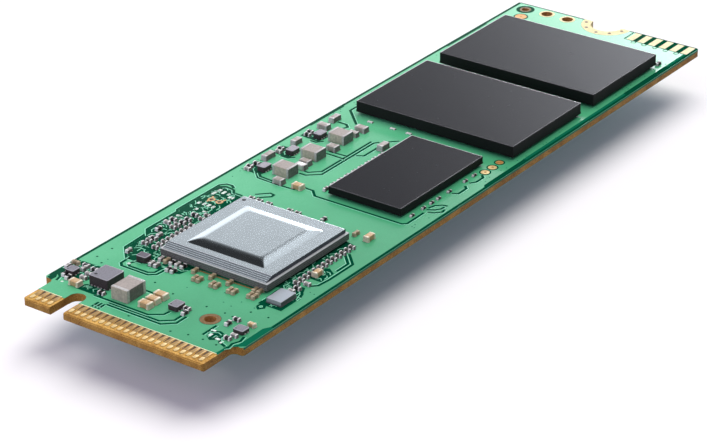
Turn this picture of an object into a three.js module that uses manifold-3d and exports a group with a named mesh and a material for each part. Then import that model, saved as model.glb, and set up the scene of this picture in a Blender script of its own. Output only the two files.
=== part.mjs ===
// M.2 2280 solid state drive: a green card with a gold edge connector, a lidded
// controller, one memory package, two flash packages and its power parts.
// Millimetres. +X runs from the card-edge tip to the mounting end, +Z is up from the
// component side, and the origin is under the card's centre on its lowest face.

import * as THREE from 'three';
import { mergeVertices } from 'three/addons/utils/BufferGeometryUtils.js';
import Module from 'manifold-3d';

const wasm = await Module();
wasm.setup();

// ---------- card ----------
const boardLength = 80;
const boardWidth = 22;
const boardThickness = 0.8;
const maskThickness = 0.025;          // green coat
const padThickness = 0.03;            // copper and gold, a little prouder than the coat
const tongueLength = 4;               // card-edge tongue, tip to shoulder
const shoulderStep = 1.075;           // each side, from tongue to full width
const tongueCorner = 0.3;
const shoulderFillet = 0.5;
const boardCorner = 0.3;
const tipChamfer = 0.12;
const keyOffset = 6.125;              // key slot centre, from the centre line
const keyWidth = 1.6;
const keyDepth = 3.5;
const maskStartTop = 2.0;             // bare tongue, from the tip
const maskStartBottom = 2.5;

// ---------- edge contacts ----------
const contactPitch = 0.68;
const contactWidth = 0.4;
const contactTipGap = 0.4;            // bare laminate ahead of the contacts
const contactBusWidth = 0.08;         // strip that ties one row together at the coat
const wideFirst = 5.0;                // first contact beside the key, from the centre line
const wideCount = 22;
const narrowLowest = 7.4;
const narrowCount = 4;

// ---------- mounting end ----------
const mountRadius = 1.75;             // half-round screw seat
const mountPadRadius = 2.75;
const platingThickness = 0.05;        // barrel wall of the plated seat
const roundClearance = 0.02;          // between round pieces that sit in each other
const roundSegments = 48;
const cornerSegments = 8;

// Through holes: x from the tip, or from the far end where x is negative.
const throughHoles = [
  { x: 6.35, y: -5.65, radius: 0.6 },
  { x: -1.4, y: 9.35, radius: 0.45 },
  { x: -1.15, y: 6.8, radius: 0.65 },
  { x: -1.15, y: 4.25, radius: 0.65 },
];

// ---------- packages: x from the tip, y from the centre line ----------
const controller = {
  x: 18.7, y: -0.85, substrateSide: 12, lidSide: 11.5, ballHeight: 0.2, substrate: 0.5,
  lidWall: 1.4, lidHeight: 0.55, ledgeDepth: 0.06, ledgeHeight: 0.12,
  crownFoot: 8.7, crownTop: 6.8, crownRise: 0.3,
  dieSide: 6.4, die: 0.33, thermal: 0.12,
};
const flash = {
  x: 53.0, pitch: 14.42, y: -0.55, lengthX: 12.15, lengthY: 18.3,
  ballHeight: 0.25, substrate: 0.2, mould: 0.95,
  dieX: 9.6, dieY: 12.8, die: 0.6, ballMarginX: 0.6, ballMarginY: 0.9,
};
const memory = {
  x: 37.7, pitch: 0, y: -3.9, lengthX: 13.45, lengthY: 8.2,
  ballHeight: 0.2, substrate: 0.15, mould: 0.6,
  dieX: 10.2, dieY: 5.6, die: 0.3, ballMarginX: 0.6, ballMarginY: 0.5,
};
const dieClearance = 0.02;

// ---------- power section ----------
const powerPitch = 4.38;
const powerCount = 3;
const powerInductor = { x: 32.33, y: 6.2, lengthX: 1.55, lengthY: 1.95, height: 0.95 };
const regulator = { x: 31.85, y: 8.3, lengthX: 1.2, lengthY: 0.9, height: 0.55 };
const inputInductor = { x: 5.6, y: 2.75, lengthX: 2.5, lengthY: 1.85, height: 1.2 };
const inputRegulator = { x: 6.28, y: 5.8, lengthX: 2.3, lengthY: 2.15, height: 1.0 };
const blockCorner = 0.12;             // rounded upright corners of moulded blocks

// ---------- small packages ----------
const smallChips = [
  { name: 'load_switch', x: 5.92, y: 9.42, lengthX: 1.0, lengthY: 0.95, height: 0.5 },
  { name: 'clock_chip', x: 11.28, y: 5.82, lengthX: 0.9, lengthY: 1.1, height: 0.6 },
  { name: 'monitor_chip', x: 6.22, y: -2.08, lengthX: 1.2, lengthY: 1.05, height: 0.5 },
  { name: 'thermal_sensor', x: 6.15, y: -9.13, lengthX: 1.0, lengthY: 1.1, height: 0.4 },
];
const crystal = { x: 12.52, y: -8.5, lengthX: 2.25, lengthY: 1.7, height: 0.45 };

// ---------- capacitors: along says which way the two ends lie ----------
const capLip = 0.02;                  // end caps stand this far proud of the body
const capacitors = [
  { name: 'input_capacitor_1', x: 4.92, y: 0.26, length: 1.2, width: 0.75, height: 0.5, along: 'y' },
  { name: 'input_capacitor_2', x: 5.9, y: 0.24, length: 1.2, width: 0.75, height: 0.5, along: 'y' },
  { name: 'input_capacitor_3', x: 6.9, y: 0.2, length: 1.25, width: 0.75, height: 0.5, along: 'y' },
  { name: 'edge_capacitor', x: 4.45, y: 7.8, length: 1.1, width: 0.75, height: 0.45, along: 'y' },
  { name: 'crystal_capacitor', x: 17.9, y: -8.35, length: 1.0, width: 0.6, height: 0.45, along: 'x' },
  { name: 'core_capacitor', x: 25.95, y: -8.1, length: 1.1, width: 0.6, height: 0.5, along: 'x' },
  { name: 'rail_capacitor', x: 30.55, y: 3.35, length: 1.1, width: 0.75, height: 0.45, along: 'y' },
  { name: 'memory_capacitor', x: 41.95, y: 1.8, length: 1.2, width: 0.7, height: 0.55, along: 'x' },
  { name: 'upper_capacitor_1', x: 34.1, y: 9.58, length: 1.45, width: 0.65, height: 0.5, along: 'x' },
  { name: 'upper_capacitor_2', x: 38.15, y: 9.32, length: 1.1, width: 0.65, height: 0.5, along: 'x' },
  { name: 'upper_capacitor_3', x: 42.4, y: 9.18, length: 1.2, width: 0.75, height: 0.5, along: 'y' },
  { name: 'upper_capacitor_4', x: 44.45, y: 9.38, length: 1.25, width: 0.65, height: 0.5, along: 'x' },
  { name: 'lower_capacitor_1', x: 30.4, y: 5.45, length: 1.05, width: 0.75, height: 0.5, along: 'y' },
  { name: 'lower_capacitor_2', x: 34.05, y: 5.65, length: 1.1, width: 0.7, height: 0.5, along: 'y' },
  { name: 'lower_capacitor_3', x: 35.0, y: 5.82, length: 1.1, width: 0.7, height: 0.5, along: 'y' },
  { name: 'lower_capacitor_4', x: 39.05, y: 5.6, length: 1.1, width: 0.85, height: 0.5, along: 'y' },
  { name: 'lower_capacitor_5', x: 42.7, y: 5.85, length: 1.0, width: 0.6, height: 0.45, along: 'y' },
  { name: 'lower_capacitor_6', x: 44.0, y: 5.82, length: 1.2, width: 0.8, height: 0.5, along: 'y' },
];

// ---------- places worked out from the sizes ----------
const tipX = -boardLength / 2;
const endX = boardLength / 2;
const shoulderX = tipX + tongueLength;
const halfWidth = boardWidth / 2;
const halfTongue = halfWidth - shoulderStep;
const laminateBottom = padThickness;
const laminateTop = boardThickness - padThickness;
const maskTopZ = laminateTop + maskThickness;
const beyond = 1;                     // how far cutting tools reach past what they cut

const finish = {
  laminate: { color: 0xa07838, roughness: 0.75, metalness: 0 },
  mask: { color: 0x5fbe8f, roughness: 0.35, metalness: 0 },
  gold: { color: 0xd9b35a, roughness: 0.3, metalness: 0.9 },
  mould: { color: 0x3f4146, roughness: 0.55, metalness: 0 },
  substrate: { color: 0x2c3a33, roughness: 0.6, metalness: 0 },
  silicon: { color: 0x6f7480, roughness: 0.25, metalness: 0.4 },
  solder: { color: 0xb9bcc0, roughness: 0.35, metalness: 0.9 },
  lid: { color: 0xb9c0ca, roughness: 0.32, metalness: 0.9 },
  thermal: { color: 0x9a9ea3, roughness: 0.8, metalness: 0 },
  ferrite: { color: 0xa79c96, roughness: 0.6, metalness: 0.1 },
  ceramic: { color: 0xc2a884, roughness: 0.55, metalness: 0 },
};

const drive = new THREE.Group();

function addPiece(name, geometry, finishName) {
  const mesh = new THREE.Mesh(geometry, new THREE.MeshStandardMaterial(finish[finishName]));
  mesh.name = name;
  drive.add(mesh);
  return mesh;
}

// ---------- solids ----------
function toSolid(geometry) {
  const bare = geometry.clone();
  bare.deleteAttribute('normal');
  bare.deleteAttribute('uv');
  const merged = mergeVertices(bare, 1e-5);
  return new wasm.Manifold(new wasm.Mesh({
    numProp: 3,
    vertProperties: new Float32Array(merged.attributes.position.array),
    triVerts: new Uint32Array(merged.index.array),
  }));
}

function toGeometry(solid) {
  const mesh = solid.getMesh();
  const geometry = new THREE.BufferGeometry();
  geometry.setAttribute('position', new THREE.BufferAttribute(mesh.vertProperties, 3));
  geometry.setIndex(new THREE.BufferAttribute(mesh.triVerts, 1));
  geometry.computeVertexNormals();
  return geometry;
}

// A box from its footprint's centre and size, standing between two heights.
function slab(x, y, sizeX, sizeY, bottom, top) {
  const geometry = new THREE.BoxGeometry(sizeX, sizeY, top - bottom);
  return geometry.translate(x, y, (bottom + top) / 2);
}

function plate(shape, bottom, top) {
  const settings = { depth: top - bottom, bevelEnabled: false, curveSegments: cornerSegments };
  return new THREE.ExtrudeGeometry(shape, settings).translate(0, 0, bottom);
}

function disc(x, y, radius, bottom, top) {
  const geometry = new THREE.CylinderGeometry(radius, radius, top - bottom, roundSegments);
  return geometry.rotateX(Math.PI / 2).translate(x, y, (bottom + top) / 2);
}

// ---------- card outline ----------
function cardOutline() {
  const outline = new THREE.Shape();
  const quarter = Math.PI / 2;
  const keyEndX = tipX + keyDepth - keyWidth / 2;
  const tongueInX = shoulderX - shoulderFillet;
  outline.moveTo(tipX + tongueCorner, -halfTongue);
  outline.absarc(tongueInX, -halfTongue - shoulderFillet, shoulderFillet, quarter, 0, true);
  outline.absarc(shoulderX + boardCorner, -halfWidth + boardCorner, boardCorner, 2 * quarter, 3 * quarter);
  outline.absarc(endX - boardCorner, -halfWidth + boardCorner, boardCorner, 3 * quarter, 4 * quarter);
  outline.absarc(endX - boardCorner, halfWidth - boardCorner, boardCorner, 0, quarter);
  outline.absarc(shoulderX + boardCorner, halfWidth - boardCorner, boardCorner, quarter, 2 * quarter);
  outline.absarc(tongueInX, halfTongue + shoulderFillet, shoulderFillet, 0, -quarter, true);
  outline.absarc(tipX + tongueCorner, halfTongue - tongueCorner, tongueCorner, quarter, 2 * quarter);
  outline.lineTo(tipX, keyOffset + keyWidth / 2);
  outline.absarc(keyEndX, keyOffset, keyWidth / 2, quarter, -quarter, true);
  outline.lineTo(tipX, keyOffset - keyWidth / 2);
  outline.absarc(tipX + tongueCorner, -halfTongue + tongueCorner, tongueCorner, 2 * quarter, 3 * quarter);
  return outline;
}

function cardPlate(bottom, top, seatRadius) {
  let solid = toSolid(plate(cardOutline(), bottom, top));
  const low = bottom - beyond;
  const high = top + beyond;
  solid = solid.subtract(toSolid(disc(endX, 0, seatRadius, low, high)));
  for (const hole of throughHoles) {
    const x = hole.x < 0 ? endX + hole.x : tipX + hole.x;
    solid = solid.subtract(toSolid(disc(x, hole.y, hole.radius, low, high)));
  }
  return solid;
}

// A wedge that takes the tip's long edge off at 45 degrees, at the given height.
function tipWedge(height) {
  const wedge = new THREE.Shape();
  wedge.moveTo(tipX - tipChamfer, height);
  wedge.lineTo(tipX, height - tipChamfer);
  wedge.lineTo(tipX + tipChamfer, height);
  wedge.lineTo(tipX, height + tipChamfer);
  const settings = { depth: boardWidth, bevelEnabled: false };
  const geometry = new THREE.ExtrudeGeometry(wedge, settings);
  return geometry.rotateX(Math.PI / 2).translate(0, halfWidth, 0);
}

function addCard() {
  let laminate = cardPlate(laminateBottom, laminateTop, mountRadius + platingThickness + roundClearance);
  laminate = laminate.subtract(toSolid(tipWedge(laminateTop)));
  laminate = laminate.subtract(toSolid(tipWedge(laminateBottom)));
  addPiece('circuit_board', toGeometry(laminate), 'laminate');
  addMask('solder_mask_top', laminateTop, maskTopZ, maskStartTop);
  addMask('solder_mask_bottom', laminateBottom - maskThickness, laminateBottom, maskStartBottom);
}

function addMask(name, bottom, top, start) {
  const tongueX = tipX + (start - beyond) / 2;
  const bareTongue = slab(tongueX, 0, start + beyond, boardWidth, bottom - beyond, top + beyond);
  const mask = cardPlate(bottom, top, mountPadRadius + roundClearance);
  addPiece(name, toGeometry(mask.subtract(toSolid(bareTongue))), 'mask');
}

// ---------- edge contacts ----------
// One row of contacts as a comb, its teeth joined at the coat's edge by a narrow bus strip.
function contactRow(lowestY, count, length, bottom) {
  const tip = tipX + contactTipGap;
  const root = tip + length;
  const busX = root - contactBusWidth;
  const half = contactWidth / 2;
  const comb = new THREE.Shape();
  comb.moveTo(root, lowestY - half);
  comb.lineTo(root, lowestY + contactPitch * (count - 1) + half);
  for (let i = count - 1; i >= 0; i -= 1) {
    const y = lowestY + contactPitch * i;
    comb.lineTo(tip, y + half);
    comb.lineTo(tip, y - half);
    if (i > 0) {
      comb.lineTo(busX, y - half);
      comb.lineTo(busX, y - contactPitch + half);
    }
  }
  return plate(comb, bottom, bottom + padThickness);
}

function addContacts() {
  const half = contactPitch / 2;
  const wideLowest = wideFirst - contactPitch * (wideCount - 1);
  const lengthTop = maskStartTop - contactTipGap;
  const lengthBottom = maskStartBottom - contactTipGap;
  addPiece('contacts_top_wide', contactRow(wideLowest, wideCount, lengthTop, laminateTop), 'gold');
  addPiece('contacts_top_narrow',
    contactRow(narrowLowest, narrowCount, lengthTop, laminateTop), 'gold');
  addPiece('contacts_bottom_wide',
    contactRow(wideLowest + half, wideCount - 1, lengthBottom, 0), 'gold');
  addPiece('contacts_bottom_narrow',
    contactRow(narrowLowest + half, narrowCount - 1, lengthBottom, 0), 'gold');
}

// ---------- plated screw seat ----------
// A C-shaped section turned about the seat's axis, then cut off at the card's end.
function addMountingPad() {
  const wall = mountRadius + platingThickness;
  const section = [
    [mountRadius, 0], [mountPadRadius, 0], [mountPadRadius, laminateBottom], [wall, laminateBottom],
    [wall, laminateTop], [mountPadRadius, laminateTop], [mountPadRadius, boardThickness],
    [mountRadius, boardThickness], [mountRadius, 0],
  ].map(([r, z]) => new THREE.Vector2(r, z));
  const ring = new THREE.LatheGeometry(section, roundSegments);
  ring.rotateX(Math.PI / 2).translate(endX, 0, 0);
  const past = slab(endX + mountPadRadius, 0, 2 * mountPadRadius, 4 * mountPadRadius,
    -beyond, boardThickness + beyond);
  addPiece('mounting_pad', toGeometry(toSolid(ring).subtract(toSolid(past))), 'gold');
}

// ---------- controller ----------
// Stamped lid: a wall with a fine ledge at its foot, a flat rim and a raised crown.
function controllerLid(x, y, foot) {
  const c = controller;
  const rim = foot + c.lidHeight;
  const ledgeSide = c.lidSide - 2 * c.ledgeDepth;
  const diagonal = Math.SQRT1_2;
  const crown = new THREE.CylinderGeometry(c.crownTop * diagonal, c.crownFoot * diagonal, c.crownRise, 4);
  crown.rotateX(Math.PI / 2).rotateZ(Math.PI / 4).translate(x, y, rim + c.crownRise / 2);
  const hollowSide = c.lidSide - 2 * c.lidWall;
  const hollowTop = foot + c.die + c.thermal;
  let lid = toSolid(slab(x, y, c.lidSide, c.lidSide, foot, foot + c.ledgeHeight));
  lid = lid.add(toSolid(slab(x, y, ledgeSide, ledgeSide, foot, foot + 2 * c.ledgeHeight)));
  const upperSide = ledgeSide - 2 * c.ledgeDepth;
  lid = lid.add(toSolid(slab(x, y, upperSide, upperSide, foot, rim)));
  lid = lid.add(toSolid(crown));
  return lid.subtract(toSolid(slab(x, y, hollowSide, hollowSide, foot - beyond, hollowTop)));
}

function addController() {
  const c = controller;
  const x = tipX + c.x;
  const substrateZ = maskTopZ + c.ballHeight;
  const foot = substrateZ + c.substrate;
  const dieTop = foot + c.die;
  const ballSide = c.substrateSide - 1;
  addPiece('controller_ball_layer', slab(x, c.y, ballSide, ballSide, maskTopZ, substrateZ), 'solder');
  addPiece('controller_substrate',
    slab(x, c.y, c.substrateSide, c.substrateSide, substrateZ, foot), 'substrate');
  addPiece('controller_die', slab(x, c.y, c.dieSide, c.dieSide, foot, dieTop), 'silicon');
  addPiece('controller_thermal_layer',
    slab(x, c.y, c.dieSide, c.dieSide, dieTop, dieTop + c.thermal), 'thermal');
  addPiece('controller_lid', toGeometry(controllerLid(x, c.y, foot)), 'lid');
}

// ---------- moulded ball-grid packages ----------
function addPackage(prefix, kind, index) {
  const x = tipX + kind.x + kind.pitch * index;
  const substrateZ = maskTopZ + kind.ballHeight;
  const mouldZ = substrateZ + kind.substrate;
  const mouldTop = mouldZ + kind.mould;
  const dieTop = mouldZ + kind.die;
  const ballX = kind.lengthX - 2 * kind.ballMarginX;
  const ballY = kind.lengthY - 2 * kind.ballMarginY;
  addPiece(`${prefix}_ball_layer`, slab(x, kind.y, ballX, ballY, maskTopZ, substrateZ), 'solder');
  addPiece(`${prefix}_substrate`,
    slab(x, kind.y, kind.lengthX, kind.lengthY, substrateZ, mouldZ), 'substrate');
  addPiece(`${prefix}_die_stack`, slab(x, kind.y, kind.dieX, kind.dieY, mouldZ, dieTop), 'silicon');
  const block = toSolid(slab(x, kind.y, kind.lengthX, kind.lengthY, mouldZ, mouldTop));
  const pocketX = kind.dieX + 2 * dieClearance;
  const pocketY = kind.dieY + 2 * dieClearance;
  const pocket = toSolid(slab(x, kind.y, pocketX, pocketY, mouldZ - beyond, dieTop));
  addPiece(`${prefix}_mould`, toGeometry(block.subtract(pocket)), 'mould');
}

// ---------- moulded blocks ----------
function addBlock(name, spec, finishName, index = 0) {
  const a = spec.lengthX / 2;
  const b = spec.lengthY / 2;
  const r = blockCorner;
  const foot = new THREE.Shape();
  foot.moveTo(-a + r, -b);
  foot.lineTo(a - r, -b);
  foot.lineTo(a, -b + r);
  foot.lineTo(a, b - r);
  foot.lineTo(a - r, b);
  foot.lineTo(-a + r, b);
  foot.lineTo(-a, b - r);
  foot.lineTo(-a, -b + r);
  const piece = addPiece(name, plate(foot, 0, spec.height), finishName);
  piece.position.set(tipX + spec.x + powerPitch * index, spec.y, maskTopZ);
}

// ---------- capacitors ----------
// Side profile with an end cap at each end a little proud of the ceramic body.
function addCapacitor(spec) {
  const half = spec.length / 2;
  const inner = half - spec.length / 4;
  const high = spec.height - capLip;
  const profile = new THREE.Shape();
  profile.moveTo(-half, 0);
  profile.lineTo(-inner, 0);
  profile.lineTo(-inner, capLip);
  profile.lineTo(inner, capLip);
  profile.lineTo(inner, 0);
  profile.lineTo(half, 0);
  profile.lineTo(half, spec.height);
  profile.lineTo(inner, spec.height);
  profile.lineTo(inner, high);
  profile.lineTo(-inner, high);
  profile.lineTo(-inner, spec.height);
  profile.lineTo(-half, spec.height);
  const settings = { depth: spec.width, bevelEnabled: false };
  const body = new THREE.ExtrudeGeometry(profile, settings);
  body.rotateX(Math.PI / 2).translate(0, spec.width / 2, 0);
  if (spec.along === 'y') {
    body.rotateZ(Math.PI / 2);
  }
  const piece = addPiece(spec.name, body, 'ceramic');
  piece.position.set(tipX + spec.x, spec.y, maskTopZ);
}

// ---------- assembly ----------
addCard();
addContacts();
addMountingPad();
addController();
addPackage('memory', memory, 0);
addPackage('flash_near', flash, 0);
addPackage('flash_far', flash, 1);
for (let i = 0; i < powerCount; i += 1) {
  addBlock(`power_inductor_${i + 1}`, powerInductor, 'ferrite', i);
  addBlock(`regulator_${i + 1}`, regulator, 'mould', i);
}
addBlock('input_inductor', inputInductor, 'ferrite');
addBlock('input_regulator', inputRegulator, 'mould');
addBlock('crystal', crystal, 'lid');
for (const chip of smallChips) {
  addBlock(chip.name, chip, 'mould');
}
for (const capacitor of capacitors) {
  addCapacitor(capacitor);
}

export default drive;
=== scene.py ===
import math
import random

import bpy
from mathutils import Matrix, Vector


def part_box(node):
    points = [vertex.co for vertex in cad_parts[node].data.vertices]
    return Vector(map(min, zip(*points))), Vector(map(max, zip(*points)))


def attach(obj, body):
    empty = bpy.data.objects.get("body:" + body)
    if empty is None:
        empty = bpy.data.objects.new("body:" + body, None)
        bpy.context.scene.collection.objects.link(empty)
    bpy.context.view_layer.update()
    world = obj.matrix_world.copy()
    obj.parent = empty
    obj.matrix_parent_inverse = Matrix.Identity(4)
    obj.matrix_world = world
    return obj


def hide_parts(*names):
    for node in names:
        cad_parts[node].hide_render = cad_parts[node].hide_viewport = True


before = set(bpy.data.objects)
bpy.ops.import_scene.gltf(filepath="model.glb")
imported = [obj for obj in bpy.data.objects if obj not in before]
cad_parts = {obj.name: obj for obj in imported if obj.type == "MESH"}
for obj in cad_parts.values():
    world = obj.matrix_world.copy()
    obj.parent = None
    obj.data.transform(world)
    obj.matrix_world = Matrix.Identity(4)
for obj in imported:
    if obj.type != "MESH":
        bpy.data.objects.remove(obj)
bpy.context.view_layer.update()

# Solid state drive on an M.2 card. Lengths here are millimetres, turned to metres when a mesh is made.
# X runs from the card-edge tip to the screw seat, Y towards the key slot, Z up from the parts' side.

mm = 0.001
dice = random.Random(7)


def boxOf(node):
    low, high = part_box(node)
    return [v / mm for v in low], [v / mm for v in high]


def middleOf(node):
    low, high = boxOf(node)
    return (low[0] + high[0]) / 2, (low[1] + high[1]) / 2


def sizeOf(node):
    low, high = boxOf(node)
    return [high[i] - low[i] for i in range(3)]


boardLow, boardHigh = boxOf("circuit_board")
deck = boxOf("solder_mask_top")[1][2]  # top of the green coat
deckUnder = boxOf("solder_mask_bottom")[0][2]
printLow = deck - 0.01  # where everything laid on the coat starts, just inside it
padTop = boxOf("contacts_top_wide")[1][2]
endX = boardHigh[0]
sideY = boardHigh[1]
print("frame loaded", len(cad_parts), "nodes")

view = {
    "azimuth": -53.63,
    "elevation": 27.07,
    "roll": -0.60,
    "distance": 249.3,
    "target": (-10.67, -3.89, 0.0),
    "lens": 139.2,
}


def makeCamera(v):
    a = math.radians(v["azimuth"])
    e = math.radians(v["elevation"])
    r = math.radians(v["roll"])
    back = Vector((math.sin(a) * math.cos(e), -math.cos(a) * math.cos(e), math.sin(e)))
    right = (-back).cross(Vector((0, 0, 1))).normalized()
    up = right.cross(-back).normalized()
    camRight = right * math.cos(r) + up * math.sin(r)
    camUp = up * math.cos(r) - right * math.sin(r)
    data = bpy.data.cameras.new("camera")
    data.lens = v["lens"]
    data.sensor_width = 36
    data.clip_start = 0.01
    data.clip_end = 100
    camera = bpy.data.objects.new("camera", data)
    bpy.context.scene.collection.objects.link(camera)
    place = (Vector(v["target"]) + back * v["distance"]) * mm
    rows = [[camRight[i], camUp[i], back[i], place[i]] for i in range(3)] + [[0, 0, 0, 1]]
    camera.matrix_world = Matrix(rows)
    bpy.context.scene.camera = camera


makeCamera(view)

light = {
    "sunFrom": (0.36, 0.11, 0.92),
    "sunAngle": 60,
    "sunStrength": 2.65,
    "sunColor": (1.0, 0.985, 0.93),
    "floorDrop": 4.2,
    "floorColor": (0.935, 0.932, 0.94),
    "floorBounce": (0.14, 0.14, 0.15),  # what it sends back up
    "floorLift": (0.030, 0.030, 0.046),  # keeps its darkest shade open
    # how bright the room is at each height, from the floor line up, on the lit side
    "litSide": [(0.0, 1.25), (0.34, 1.2), (0.40, 0.86), (0.45, 0.60), (0.50, 0.38), (0.58, 0.10),
                (0.70, 0.03), (1.0, 0.02)],
    "litFrom": (0.80, 0.60, 0.0),
    "backFrom": (-0.95, 0.3, 0.0),
    "backSide": 1.05,
    "dimSide": 0.10,
    "panelFrom": (0.76, 0.10, 0.64),
    "panelHalf": 14,
    "panelSoft": 8,
    "panelStrength": 0.75,
    "wallFrom": (0.593, -0.805, 0.0),
    "wallStrength": 9.5,
    # the wall stands low, between these turns away from its own direction, and only past the far end
    "wallTop": (0.50, 0.43),
    "wallRise": (0.0, 0.16),
    "wallFade": (0.36, 0.22),
    "wallEnd": (0.62, 0.74),
    "roomTint": (0.955, 0.98, 1.05),
    "shadeTint": (0.985, 0.915, 1.15),
}


def newMaterial(name):
    material = bpy.data.materials.new(name)
    material.use_nodes = True
    tree = material.node_tree
    shader = next(n for n in tree.nodes if n.type == "BSDF_PRINCIPLED")
    return material, tree, shader


def addNode(tree, kind, **settings):
    node = tree.nodes.new(kind)
    for key, value in settings.items():
        setattr(node, key, value)
    return node


def mathNode(tree, operation, a, b=None):
    node = addNode(tree, "ShaderNodeMath", operation=operation)
    for socket, value in zip(node.inputs, (a, b)):
        if value is None:
            continue
        if isinstance(value, (int, float)):
            socket.default_value = value
        else:
            tree.links.new(value, socket)
    return node.outputs[0]


def rampOf(tree, field, stops):
    ramp = addNode(tree, "ShaderNodeValToRGB")
    elements = ramp.color_ramp.elements
    elements[0].position = stops[0][0]
    elements[0].color = (*stops[0][1], 1)
    elements[1].position = stops[-1][0]
    elements[1].color = (*stops[-1][1], 1)
    for place, color in stops[1:-1]:
        elements.new(place).color = (*color, 1)
    tree.links.new(field, ramp.inputs["Fac"])
    return ramp.outputs["Color"]


# A plain room: pale at the horizon on the lit side, dim overhead, with one broad panel past the far end.
def makeWorld(spec):
    world = bpy.data.worlds.new("studio")
    bpy.context.scene.world = world
    world.use_nodes = True
    tree = world.node_tree
    tree.nodes.clear()
    coords = addNode(tree, "ShaderNodeTexCoord").outputs["Generated"]
    parts = addNode(tree, "ShaderNodeSeparateXYZ")
    tree.links.new(coords, parts.inputs[0])
    peak = max(level for _, level in spec["litSide"])
    stops = [(height, (level / peak,) * 3) for height, level in spec["litSide"]]
    lit = mathNode(tree, "MULTIPLY", rampOf(tree, parts.outputs["Z"], stops), peak)

    def towards(direction, low, high):
        dot = addNode(tree, "ShaderNodeVectorMath", operation="DOT_PRODUCT")
        tree.links.new(coords, dot.inputs[0])
        dot.inputs[1].default_value = Vector(direction).normalized()
        ramp = addNode(tree, "ShaderNodeMapRange", interpolation_type="SMOOTHSTEP")
        tree.links.new(dot.outputs["Value"], ramp.inputs["Value"])
        ramp.inputs["From Min"].default_value = low
        ramp.inputs["From Max"].default_value = high
        return ramp.outputs[0]

    side = addNode(tree, "ShaderNodeMix", data_type="FLOAT")
    tree.links.new(towards(spec["litFrom"], -0.25, 0.55), side.inputs["Factor"])
    side.inputs["A"].default_value = spec["dimSide"]
    tree.links.new(lit, side.inputs["B"])
    back = mathNode(tree, "MULTIPLY", towards(spec["backFrom"], 0.2, 0.95), spec["backSide"])
    low = addNode(tree, "ShaderNodeMapRange", interpolation_type="SMOOTHSTEP")
    tree.links.new(parts.outputs["Z"], low.inputs["Value"])
    low.inputs["From Min"].default_value = spec["wallTop"][0]
    low.inputs["From Max"].default_value = spec["wallTop"][1]
    rising = towards(spec["wallFrom"], *spec["wallRise"])
    fading = towards(spec["wallFrom"], *spec["wallFade"])
    farEnd = towards((1, 0, 0), *spec["wallEnd"])
    wall = spec["wallStrength"]
    path = addNode(tree, "ShaderNodeLightPath")
    for share in (rising, rising, fading, low.outputs[0], farEnd, path.outputs["Is Glossy Ray"]):
        wall = mathNode(tree, "MULTIPLY", share, wall)
    wide = math.cos(math.radians(spec["panelHalf"] + spec["panelSoft"]))
    tight = math.cos(math.radians(spec["panelHalf"] - spec["panelSoft"]))
    panel = mathNode(tree, "MULTIPLY", towards(spec["panelFrom"], wide, tight), spec["panelStrength"])
    front = mathNode(tree, "ADD", side.outputs[0], panel)
    total = mathNode(tree, "ADD", front, mathNode(tree, "ADD", wall, back))
    cast = addNode(tree, "ShaderNodeMix", data_type="RGBA")
    tree.links.new(path.outputs["Is Glossy Ray"], cast.inputs["Factor"])
    cast.inputs[6].default_value = (*spec["shadeTint"], 1)
    cast.inputs[7].default_value = (*spec["roomTint"], 1)
    tint = addNode(tree, "ShaderNodeVectorMath", operation="SCALE")
    tree.links.new(cast.outputs[2], tint.inputs[0])
    tree.links.new(total, tint.inputs["Scale"])
    seen = addNode(tree, "ShaderNodeMix", data_type="RGBA")
    tree.links.new(path.outputs["Is Camera Ray"], seen.inputs["Factor"])
    tree.links.new(tint.outputs[0], seen.inputs[6])
    seen.inputs[7].default_value = (1, 1, 1, 1)
    shine = addNode(tree, "ShaderNodeBackground")
    tree.links.new(seen.outputs[2], shine.inputs["Color"])
    output = addNode(tree, "ShaderNodeOutputWorld")
    tree.links.new(shine.outputs[0], output.inputs["Surface"])


def makeSun(spec):
    data = bpy.data.lights.new("softOverhead", "SUN")
    data.energy = spec["sunStrength"]
    data.angle = math.radians(spec["sunAngle"])
    data.color = spec["sunColor"]
    sun = bpy.data.objects.new("softOverhead", data)
    bpy.context.scene.collection.objects.link(sun)
    sun.rotation_mode = "QUATERNION"
    sun.rotation_quaternion = Vector(spec["sunFrom"]).to_track_quat("Z", "Y")
    sun.visible_glossy = False


def makeFloor(spec):
    half = 12.0
    z = -spec["floorDrop"] * mm
    data = bpy.data.meshes.new("floor")
    corners = [(-half, -half, z), (half, -half, z), (half, half, z), (-half, half, z)]
    data.from_pydata(corners, [], [(0, 1, 2, 3)])
    floor = bpy.data.objects.new("floor", data)
    bpy.context.scene.collection.objects.link(floor)
    material, tree, shader = newMaterial("paleFloor")
    shader.inputs["Emission Color"].default_value = (*spec["floorLift"], 1)
    shader.inputs["Emission Strength"].default_value = 1.0
    shader.inputs["Roughness"].default_value = 1.0
    shader.inputs["Specular IOR Level"].default_value = 0.0
    path = addNode(tree, "ShaderNodeLightPath")
    seen = mathNode(tree, "MAXIMUM", path.outputs["Is Camera Ray"], path.outputs["Is Glossy Ray"])
    color = addNode(tree, "ShaderNodeMix", data_type="RGBA")
    tree.links.new(seen, color.inputs["Factor"])
    color.inputs[6].default_value = (*spec["floorBounce"], 1)
    color.inputs[7].default_value = (*spec["floorColor"], 1)
    tree.links.new(color.outputs[2], shader.inputs["Base Color"])
    data.materials.append(material)


makeWorld(light)
makeSun(light)
makeFloor(light)
bpy.context.scene.view_settings.view_transform = "Standard"
print("camera, light and floor ready")

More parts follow.
